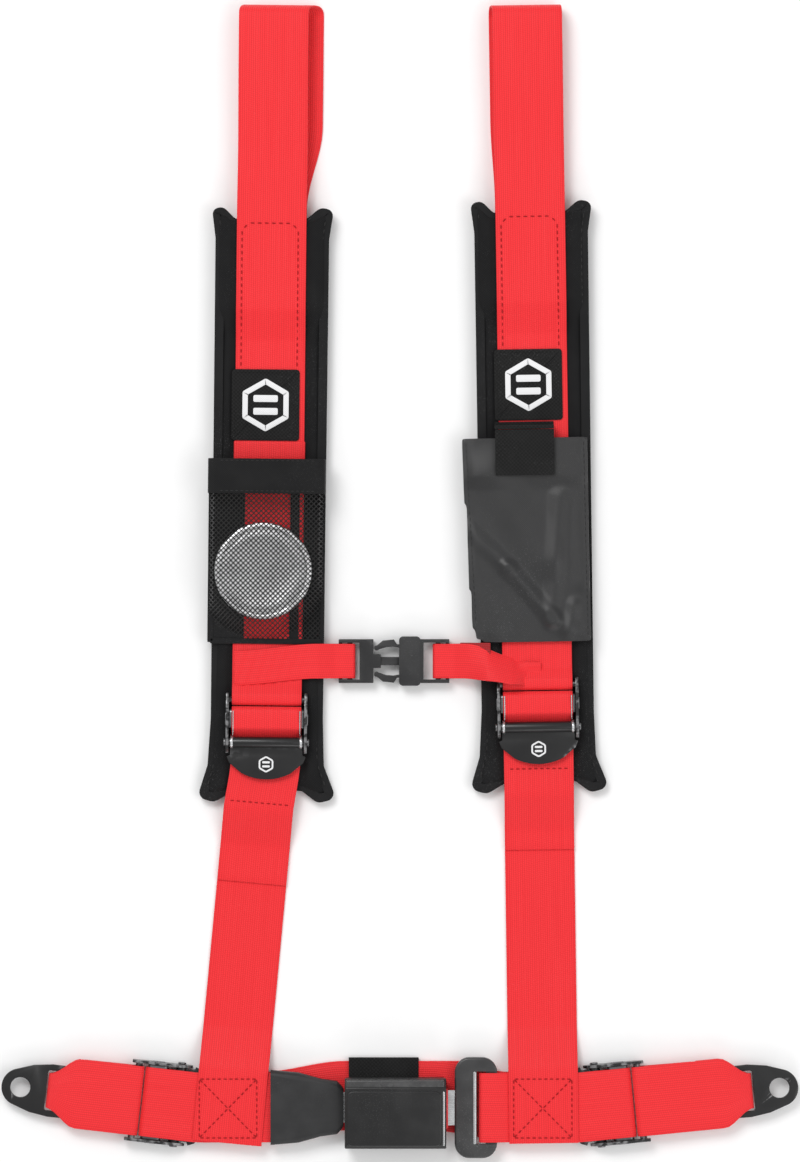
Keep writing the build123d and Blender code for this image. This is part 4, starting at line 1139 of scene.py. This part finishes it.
def chest_belt_right():
    bar = 27.9 * MM
    high = 20.8 * MM
    points = [(103 * MM, 13.6 * MM), (93 * MM, 13.8 * MM), (82 * MM, high - 1.5 * MM),
              (63.5 * MM, high - 1.5 * MM), (bar + 11 * MM, CLIP_Z + CHEST_WRAP),
              (bar - 3.5 * MM, CLIP_Z + CHEST_WRAP), (bar - 3.5 * MM, CLIP_Z - CHEST_WRAP),
              (55.5 * MM, CLIP_Z - CHEST_WRAP)]

    def twist(spot):
        if spot.z < CLIP_Z:
            return spot
        turn = radians(38) * ease((spot.y - 48 * MM) / (28 * MM))
        turn *= 1 - ease((spot.y - 84 * MM) / (10 * MM))
        fold = ease((spot.y - 78 * MM) / (16 * MM))
        spot.z += sin(turn) * spot.x
        spot.x *= cos(turn) * (1 - 0.34 * fold)
        spot.z += 0.5 * MM * fold * sin(spot.x * 700)
        return spot

    piece = belt("chest_webbing_right", rounded(points, [r * MM for r in (5, 5, 6, 8, 2, 2)]),
                 chest_plan(-9 * MM, 46 * MM, 96 * MM), width=CHEST_WIDTH, thick=CHEST_THICK,
                 shape=twist, longest=2 * MM, ripple=0.3 * MM)
    place(piece, "right_half", webbing, "webbing_red", "chest_belt_right")

    # Painted shade: a strip of the darker, shaded copy of the webbing laid under the rising strap,
    # where shade falls.
    line = rounded([(44 * MM, 9.8 * MM), (54 * MM, 14 * MM), (66 * MM, 15.5 * MM)], 6 * MM)
    lining = belt("chest_webbing_lining", line,
                  lambda s: (Vector((s, CHEST_Y + 5.5 * MM, 0)), Vector((0, -1, 0))),
                  width=16 * MM, thick=CHEST_THICK, longest=2 * MM)
    place(lining, "right_half", shaded_webbing, "webbing_red")


# Darker copy of the red webbing, painted to stand in for shade.
shaded_webbing = webbing_material("shaded_red_webbing", (0.40, 0.010, 0.014), (0.22, 0.004, 0.006))

for side_name, side_sizes, patch_low in (("left", SIDES["left"], 156 * MM),
                                         ("right", SIDES["right"], 171 * MM)):
    shoulder_seams(side_name, side_sizes, patch_low)
lap_joint("left", -146.5 * MM, -104.5 * MM)
lap_joint("right", 83.0 * MM, 125.5 * MM)
tail_seam("left", SIDES["left"], -162 * MM)
tail_seam("right", SIDES["right"], -137 * MM)
folded_end("left", SIDES["left"], 96 * MM)
chest_belt_left()
chest_belt_right()


# ---------------------------------------------------------------- net pocket and tin
POCKET_LOW_V = -44.5 * MM
POCKET_TOP_V = 89.0 * MM
POCKET_HALF = 42.0 * MM
POCKET_Z = 11.0 * MM
POCKET_ROOF = 31.0 * MM
TIN_AT = (-3.4 * MM, 7.3 * MM)
TIN_RADIUS = 35.4 * MM


def net_height(u, v):
    """Height of the net: open and tall at its mouth, drawn down round the tin at its foot."""
    side = ease((POCKET_HALF - abs(u)) / (5.0 * MM))
    foot = 1.0
    if v < TIN_AT[1]:
        away = hypot(u - TIN_AT[0], v - TIN_AT[1])
        foot = ease((50.5 * MM - away) / (50.5 * MM - TIN_RADIUS - 1.6 * MM))
    return POCKET_Z + 0.2 * MM + (POCKET_ROOF - POCKET_Z - 0.9 * MM) * min(side, foot)


def net_pocket():
    side = SIDES["left"]
    plan = shoulder_plan(side)
    pitch = 2.55 * MM
    reach = 100 * MM
    cells = int(2 * reach / pitch)
    clear_selection()
    bpy.ops.mesh.primitive_grid_add(x_subdivisions=cells, y_subdivisions=cells, size=2 * reach)
    net = active("net_pocket")
    bpy.ops.object.mode_set(mode="EDIT")
    bpy.ops.mesh.select_all(action="SELECT")
    bpy.ops.transform.rotate(value=radians(45), orient_axis="Z", center_override=(0, 0, 0))
    bpy.ops.transform.translate(value=(0, 22 * MM, 0))
    cuts = [((POCKET_HALF, 0, 0), (1, 0, 0)), ((-POCKET_HALF, 0, 0), (-1, 0, 0)),
            ((0, POCKET_TOP_V - 24 * MM, 0), (0, 1, 0)), ((0, POCKET_LOW_V, 0), (0, -1, 0))]
    for spot, facing in cuts:
        bpy.ops.mesh.select_all(action="SELECT")
        bpy.ops.mesh.bisect(plane_co=spot, plane_no=facing, clear_outer=True)
    bpy.ops.mesh.select_all(action="SELECT")
    bpy.ops.mesh.remove_doubles(threshold=0.00002)
    bpy.ops.object.mode_set(mode="OBJECT")
    for vertex in net.data.vertices:
        vertex.co.x -= 1.5 * MM
        vertex.co.z = net_height(vertex.co.x + 1.5 * MM, vertex.co.y)
    modify(net, "WIREFRAME", thickness=1.05 * MM, use_even_offset=False, use_boundary=True,
           use_replace=True)
    for vertex in net.data.vertices:
        middle = net_height(vertex.co.x + 1.5 * MM, vertex.co.y)
        vertex.co.z = middle + (vertex.co.z - middle) * 0.6
    lay(net, plan)
    outward(net)
    smooth(net, 30)
    place(net, "left_half", net_yarn, "net_black", "mesh_pocket")

    low = POCKET_Z + 0.3 * MM
    high = POCKET_ROOF + 0.6 * MM
    edge = POCKET_HALF + 0.6 * MM
    band = [(-edge, low), (-edge + 0.4 * MM, high - 3 * MM), (-edge + 5 * MM, high),
            (0, high + 0.2 * MM), (edge - 5 * MM, high), (edge - 0.4 * MM, high - 3 * MM),
            (edge, low)]
    along, across = directions(side["lean"])
    seat = Vector((side["x"], 0, 0)) + along * 76.3 * MM - across * 1.5 * MM
    hem = belt("net_pocket_hem", rounded(band, [3 * MM, 3 * MM, 8 * MM, 3 * MM, 3 * MM]),
               lambda s: (seat + across * s, along), width=25.4 * MM, thick=1.1 * MM,
               longest=3 * MM, ripple=0.35 * MM)
    place(hem, "left_half", hem_cloth, "fabric_black", "mesh_pocket_hem")

    seams = []
    for v in (65.5 * MM, 87.5 * MM):
        seams += seam_row("hem", (-36 * MM, v), (34 * MM, v), plan, high + 0.65 * MM, 3.6 * MM,
                          0.35 * MM)
    stitches = join("hem_stitching", seams)
    smooth(stitches, 60)
    place(stitches, "left_half", black_thread, "fabric_black")

    panels = []
    for near, far in ((-41 * MM, -17.5 * MM), (15.8 * MM, 22.4 * MM)):
        shape = rounded_box(near, far, POCKET_LOW_V + 1 * MM, 86 * MM, 1 * MM)
        panels.append(cut_out("pocket_panel", shape, STRAP_Z + 0.85 * MM, STRAP_Z + 1.5 * MM))
    lining = join("pocket_lining", panels)
    bevelled(lining, 0.25 * MM, 2, 40)
    lay(lining, plan)
    outward(lining)
    smooth(lining, 40)
    place(lining, "left_half", pad_tape, "fabric_black")

    border = []
    for near, far in ((-POCKET_HALF - 2 * MM, -POCKET_HALF + 2.4 * MM),
                      (POCKET_HALF - 3.6 * MM, POCKET_HALF - 0.6 * MM)):
        shape = rounded_box(near, far, POCKET_LOW_V, 64 * MM, 1 * MM)
        border.append(cut_out("pocket_border", shape, POCKET_Z - 0.2 * MM, POCKET_Z + 1.3 * MM))
    shape = rounded_box(-POCKET_HALF, POCKET_HALF - 2 * MM, POCKET_LOW_V - 1.5 * MM,
                        POCKET_LOW_V + 2.5 * MM, 1 * MM)
    border.append(cut_out("pocket_border", shape, POCKET_Z - 0.2 * MM, POCKET_Z + 1.3 * MM))
    tape = join("pocket_binding", border)
    bevelled(tape, 0.5 * MM, 2, 40)
    lay(tape, plan)
    outward(tape)
    smooth(tape, 40)
    place(tape, "left_half", pad_tape, "fabric_black")


def turned(name, profile, centre, steps=72):
    """A round part: its half section spun about an upright line and closed."""
    clear_selection()
    bpy.ops.mesh.primitive_circle_add(vertices=len(profile), radius=1, fill_type="NOTHING")
    part = active(name)
    for vertex, spot in zip(part.data.vertices, profile):
        vertex.co = (centre.x + spot[0], centre.y, spot[1])
    bpy.ops.object.mode_set(mode="EDIT")
    bpy.ops.mesh.select_mode(type="EDGE")
    bpy.ops.mesh.select_all(action="DESELECT")
    bpy.ops.object.mode_set(mode="OBJECT")
    last = len(profile) - 1
    for edge in part.data.edges:
        edge.select = set(edge.vertices) == {0, last}
    bpy.ops.object.mode_set(mode="EDIT")
    bpy.ops.mesh.delete(type="EDGE")
    bpy.ops.mesh.select_mode(type="VERT")
    bpy.ops.mesh.select_all(action="SELECT")
    bpy.ops.mesh.spin(steps=steps, angle=2 * pi, center=(centre.x, centre.y, 0), axis=(0, 0, 1),
                      use_auto_merge=True)
    bpy.ops.mesh.select_all(action="SELECT")
    bpy.ops.mesh.remove_doubles(threshold=0.00002)
    bpy.ops.mesh.normals_make_consistent(inside=False)
    bpy.ops.object.mode_set(mode="OBJECT")
    smooth(part, 35)
    return part


def tin():
    side = SIDES["left"]
    along, across = directions(side["lean"])
    centre = Vector((side["x"], 0, 0)) + across * TIN_AT[0] + along * TIN_AT[1]
    low = 12.1 * MM
    top = 30.0 * MM
    rim = TIN_RADIUS
    lid = [(0, top - 0.9 * MM), (25 * MM, top - 0.9 * MM), (26.5 * MM, top - 0.5 * MM),
           (28 * MM, top - 0.9 * MM), (31 * MM, top - 0.9 * MM), (32 * MM, top - 0.1 * MM),
           (33.4 * MM, top), (rim - 0.6 * MM, top - 0.5 * MM), (rim, top - 1.6 * MM),
           (rim, 22.4 * MM), (rim - 0.2 * MM, 21.7 * MM), (rim - 0.75 * MM, 21.7 * MM),
           (rim - 0.75 * MM, top - 2 * MM), (0, top - 2 * MM)]
    piece = turned("tin_lid_pressed", lid, centre)
    place(piece, "tin", tin_metal, "steel_bright", "tin_lid")
    cup_rim = rim - 0.85 * MM
    cup = [(0, low), (cup_rim - 2 * MM, low), (cup_rim - 0.6 * MM, low + 0.4 * MM),
           (cup_rim, low + 1.6 * MM), (cup_rim, low + 7 * MM), (cup_rim - 0.5 * MM, low + 8 * MM),
           (cup_rim, low + 9 * MM), (cup_rim, 27.6 * MM), (cup_rim - 0.7 * MM, 27.6 * MM),
           (cup_rim - 0.7 * MM, low + 1 * MM), (0, low + 0.8 * MM)]
    piece = turned("tin_cup_drawn", cup, centre)
    place(piece, "tin", tin_metal, "steel_bright", "tin_cup")


hem_cloth = cloth_material("hem_cloth", (0.007, 0.007, 0.0073), (0.017, 0.017, 0.0175), 0.8 * MM,
                           sheen=0.1)
net_pocket()
tin()


# ---------------------------------------------------------------- phone pouch
def ridge(u, v, start, end, width):
    """Height of one fold, from 1 on its line down to 0 at its width."""
    ahead = (end[0] - start[0], end[1] - start[1])
    share = (u - start[0]) * ahead[0] + (v - start[1]) * ahead[1]
    share = min(1.0, max(0.0, share / (ahead[0] ** 2 + ahead[1] ** 2)))
    away = hypot(u - start[0] - share * ahead[0], v - start[1] - share * ahead[1])
    near = max(0.0, 1 - away / width)
    return near ** 2 * (3 - 2 * near)


FOLDS = [((-50, 40), (-20, 10), 10, 2.0), ((-20, 10), (12, -28), 9, 2.6),
         ((18, 62), (12, -28), 10, 1.9), ((27, -18), (22, -44), 8, 1.8),
         ((-34, 80), (6, 18), 22, 1.9), ((-46, 20), (-30, -40), 15, 1.4),
         ((12, -28), (40, -44), 11, 1.2), ((30, 66), (36, 0), 13, 1.1)]


def pouch():
    side = SIDES["right"]
    plan = shoulder_plan(side)
    low = 12.9 * MM
    high = 19.7 * MM
    corners = [(-54, 106.5), (-48.5, -30), (-44, -43.5), (-30, -45.5), (30, -45.5), (41.5, -44.5),
               (40, 106.5)]
    outline = soft_corners([(u * MM, v * MM) for u, v in corners], 3 * MM)
    piece = cut_out("phone_pouch_shell", outline, low + 0.8 * MM, high - 1.8 * MM)

    def front(across, along):
        """Height of the folded front at a place on the pouch."""
        u, v = across / MM, along / MM
        lift = sum(tall * ridge(u, v, start, end, width) for start, end, width, tall in FOLDS)
        level = high - 3.7 * MM + lift * MM
        edge = min(ease((u + 52) / 9), ease((41 - u) / 7), ease((v + 45) / 8))
        flat = ease((v - 66) / 12) * 1.8 * MM
        return min(low + 3 * MM + (level + flat - low - 3 * MM) * (0.35 + 0.65 * edge), high)

    def limit(spot):
        if spot.z > (low + high) / 2:
            spot.z = front(spot.x, spot.y)
        spot.z = min(max(spot.z, low), high)
        return spot

    stuffed(piece, 2.6 * MM, 3.0, 3 * MM, limit)
    lay(piece, plan)
    place(piece, "right_half", coated_nylon, "coated_nylon", "phone_pouch")
    rows = [((-49.6 * MM, 102 * MM), (-44.4 * MM, -29 * MM)),
            ((36.4 * MM, 102 * MM), (37.4 * MM, -41 * MM))]
    stitched("pouch_stitching", rows, plan, lambda u, v: front(u, v) + 0.1 * MM, "right_half",
             black_thread, "coated_nylon", pitch=4.4 * MM, size=0.4 * MM)


pouch()


# ---------------------------------------------------------------- hardware
HARDWARE = {
    "adjuster_frame": (black_steel, "steel_black", 0.35),
    "cam_lever": (black_steel, "steel_black", 0.45),
    "cam_pin": (dark_steel, "steel_bright", 0.35),
    "roll_bar": (dark_steel, "steel_bright", 0.4),
    "end_bracket": (black_steel, "steel_black", 0.5),
    "bar_slider": (black_steel, "steel_black", 0.35),
    "tongue_plate": (zinc_steel, "steel_bright", 0.3),
    "tongue_grip": (grip_coating, "plastic_black", 2.4),
    "buckle_frame": (zinc_steel, "steel_bright", 0.2),
    "latch_pawl": (zinc_steel, "steel_bright", 0.2),
    "button_spring": (zinc_steel, "steel_bright", 0.15),
    "release_button": (button_plastic, "button_red", 0.8),
    "buckle_base": (black_plastic, "plastic_black", 0.5),
    "buckle_cover": (cover_plastic, "plastic_black", 1.1),
    "buckle_boot": (boot_rubber, "plastic_black", 0.9),
    "chest_clip": (black_plastic, "plastic_black", 0.5),
    "tail_keeper": (hook_cloth, "fabric_black", 0.4),
    "pouch_tab": (hook_cloth, "fabric_black", 0.3),
    "pouch_hook_pad": (hook_cloth, "fabric_black", 0.2),
}

for label, found in nodes.items():
    if found.hide_render:
        continue
    kinds = [kind for kind in HARDWARE if label.startswith(kind)]
    finish, slot_name, width = HARDWARE[max(kinds, key=len)]
    made = refine(label, label + "_finished", width * MM)
    place(made, found["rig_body"], finish, slot_name, label)


def raised_plate(name, outline, low, high, width, body, finish, slot, segments=4):
    """A moulded or stamped plate with rounded upper edges."""
    piece = cut_out(name, outline, low, high)
    bevelled(piece, width, segments, use_clamp_overlap=True)
    outward(piece)
    smooth(piece, 40)
    return place(piece, body, finish, slot)


raised_plate("buckle_face", rounded_box(-38.6 * MM, 30.4 * MM, -411.4 * MM, -371.2 * MM, 4.5 * MM),
             27.0 * MM, 28.6 * MM, 1.2 * MM, "left_half", cover_plastic, "plastic_black")
# The ridge takes the lighter plastic as a painted highlight.
raised_plate("buckle_ridge",
             rounded_box(-39.6 * MM, 32.6 * MM, -369.6 * MM, -363.2 * MM, 1.5 * MM),
             20.0 * MM, 26.8 * MM, 2.6 * MM, "left_half", highlit_ridge_plastic, "plastic_black")
# Painted highlight: a thin bright zinc strip along the cover's end stands in for the light caught
# on that edge.
raised_plate("buckle_highlight_strip", rounded_box(31.2 * MM, 32.6 * MM, -411.0 * MM, -371.6 * MM, 0.5 * MM),
             27.0 * MM, 28.1 * MM, 0.3 * MM, "left_half", zinc_steel, "steel_bright")
raised_plate("grip_edge",
             rounded_box(53.4 * MM, 55.6 * MM, LAP_Y - 26.4 * MM, LAP_Y + 26.4 * MM, 0.8 * MM),
             13.6 * MM, 14.7 * MM, 0.4 * MM, "right_half", zinc_steel, "steel_bright")


def wire(name, spots, radius, body, finish, slot):
    """Round wire through a few points, as a mesh."""
    clear_selection()
    bpy.ops.curve.primitive_nurbs_path_add(radius=1)
    path = bpy.context.active_object
    path.name = name
    path.data.splines.clear()
    spline = path.data.splines.new("NURBS")
    spline.points.add(len(spots) - 1)
    for point, spot in zip(spline.points, spots):
        point.co = (*spot, 1)
    spline.order_u = 3
    spline.use_endpoint_u = True
    path.data.resolution_u = 8
    path.data.bevel_depth = radius
    path.data.bevel_resolution = 3
    path.data.use_fill_caps = True
    pick(path)
    bpy.ops.object.convert(target="MESH")
    piece = active(name)
    smooth(piece, 60)
    return place(piece, body, finish, slot)


def adjuster_wires(name, body, spot_of):
    """Return springs beside the side plates: a coil on the cam pin and two arms."""
    for edge_name, edge in (("a", -SPRING_SIDE), ("b", SPRING_SIDE)):
        coil = []
        for step in range(4 * COIL_TURN + 1):
            turn = radians(60 * step)
            out = edge - (0.35 * (step / COIL_TURN)) * (1 if edge > 0 else -1)
            coil.append(spot_of(out, CAM_V + COIL_RADIUS * cos(turn),
                                CAM_Z + COIL_RADIUS * sin(turn)))
        coil.append(spot_of(edge * 0.94, -6.0, 5.2))
        coil.append(spot_of(edge * 0.94, 6.0, 5.4))
        wire(f"lever_spring_{name}_{edge_name}", coil, 0.45 * MM, body, zinc_steel, "steel_bright")


def shoulder_spot(side):
    plan = shoulder_plan(side)

    def spot(u, v, z):
        at, across = plan(side["adjuster"] + v * MM)
        at = at + across * u * MM
        return (at.x, at.y, ROLL_Z + z * MM)
    return spot


for side_name, side_sizes in SIDES.items():
    plan = shoulder_plan(side_sizes)
    emblem(f"lever_badge_{side_name}", (0, side_sizes["adjuster"] - 33 * MM), 6.2 * MM,
           ROLL_Z + 2.6 * MM, f"shoulder_lever_{side_name}", plan)
    adjuster_wires(side_name, f"{side_name}_half", shoulder_spot(side_sizes))


# ---------------------------------------------------------------- floor, light and camera
clear_selection()
bpy.ops.mesh.primitive_grid_add(x_subdivisions=8, y_subdivisions=8, size=14, location=(0, 0, 0))
floor = settle(active("floor"))
floor_paint, floor_tree, floor_shader, floor_where = material("floor_paint", (0.9, 0.9, 0.9),
                                                              Roughness=0.9, Specular_IOR_Level=0.1)
floor_grain = use(floor_tree, "grain", {"Vector": floor_where, "Scale": 300.0})
paint(floor_tree, floor_shader, blend_colours(floor_tree, floor_grain["Mottle"],
                                              (0.93, 0.93, 0.93, 1), (0.95, 0.95, 0.95, 1)))
floor.data.materials.append(floor_paint)
for vertex in floor.data.vertices:
    vertex.co.z = cad_box[0].z - 0.2 * MM

world = bpy.data.worlds.new("studio")
bpy.context.scene.world = world
world.use_nodes = True
world.node_tree.nodes["Background"].inputs[0].default_value = (1, 1, 1, 1)
world.node_tree.nodes["Background"].inputs[1].default_value = 0.62


def softbox(name, spot, size, power):
    clear_selection()
    bpy.ops.object.light_add(type="AREA", location=spot)
    lamp = bpy.context.active_object
    lamp.name = name
    lamp.data.shape = "SQUARE"
    lamp.data.size = size
    lamp.data.energy = power
    lamp.rotation_mode = "QUATERNION"
    lamp.rotation_quaternion = (-Vector(spot)).to_track_quat("-Z", "Y")


softbox("key_light", (-0.9, 1.5, 2.6), 1.3, 44)
softbox("fill_light", (1.6, -0.6, 2.2), 1.6, 14)
softbox("low_light", (0.2, -2.4, 1.2), 1.0, 8)

clear_selection()
bpy.ops.object.camera_add(location=(0, 0, 0))
camera = bpy.context.active_object
camera.name = "camera"
camera.data.sensor_width = 36
camera.data.lens = 200
view_height = 848.3 * MM
distance = view_height / 2 / (camera.data.sensor_width / 2 / camera.data.lens)
camera.location = (0, 0, distance + 12 * MM)
camera.data.clip_start = 0.1
camera.data.clip_end = 50
bpy.context.scene.camera = camera
bpy.context.scene.view_settings.view_transform = "Standard"
bpy.context.scene.view_settings.look = "None"
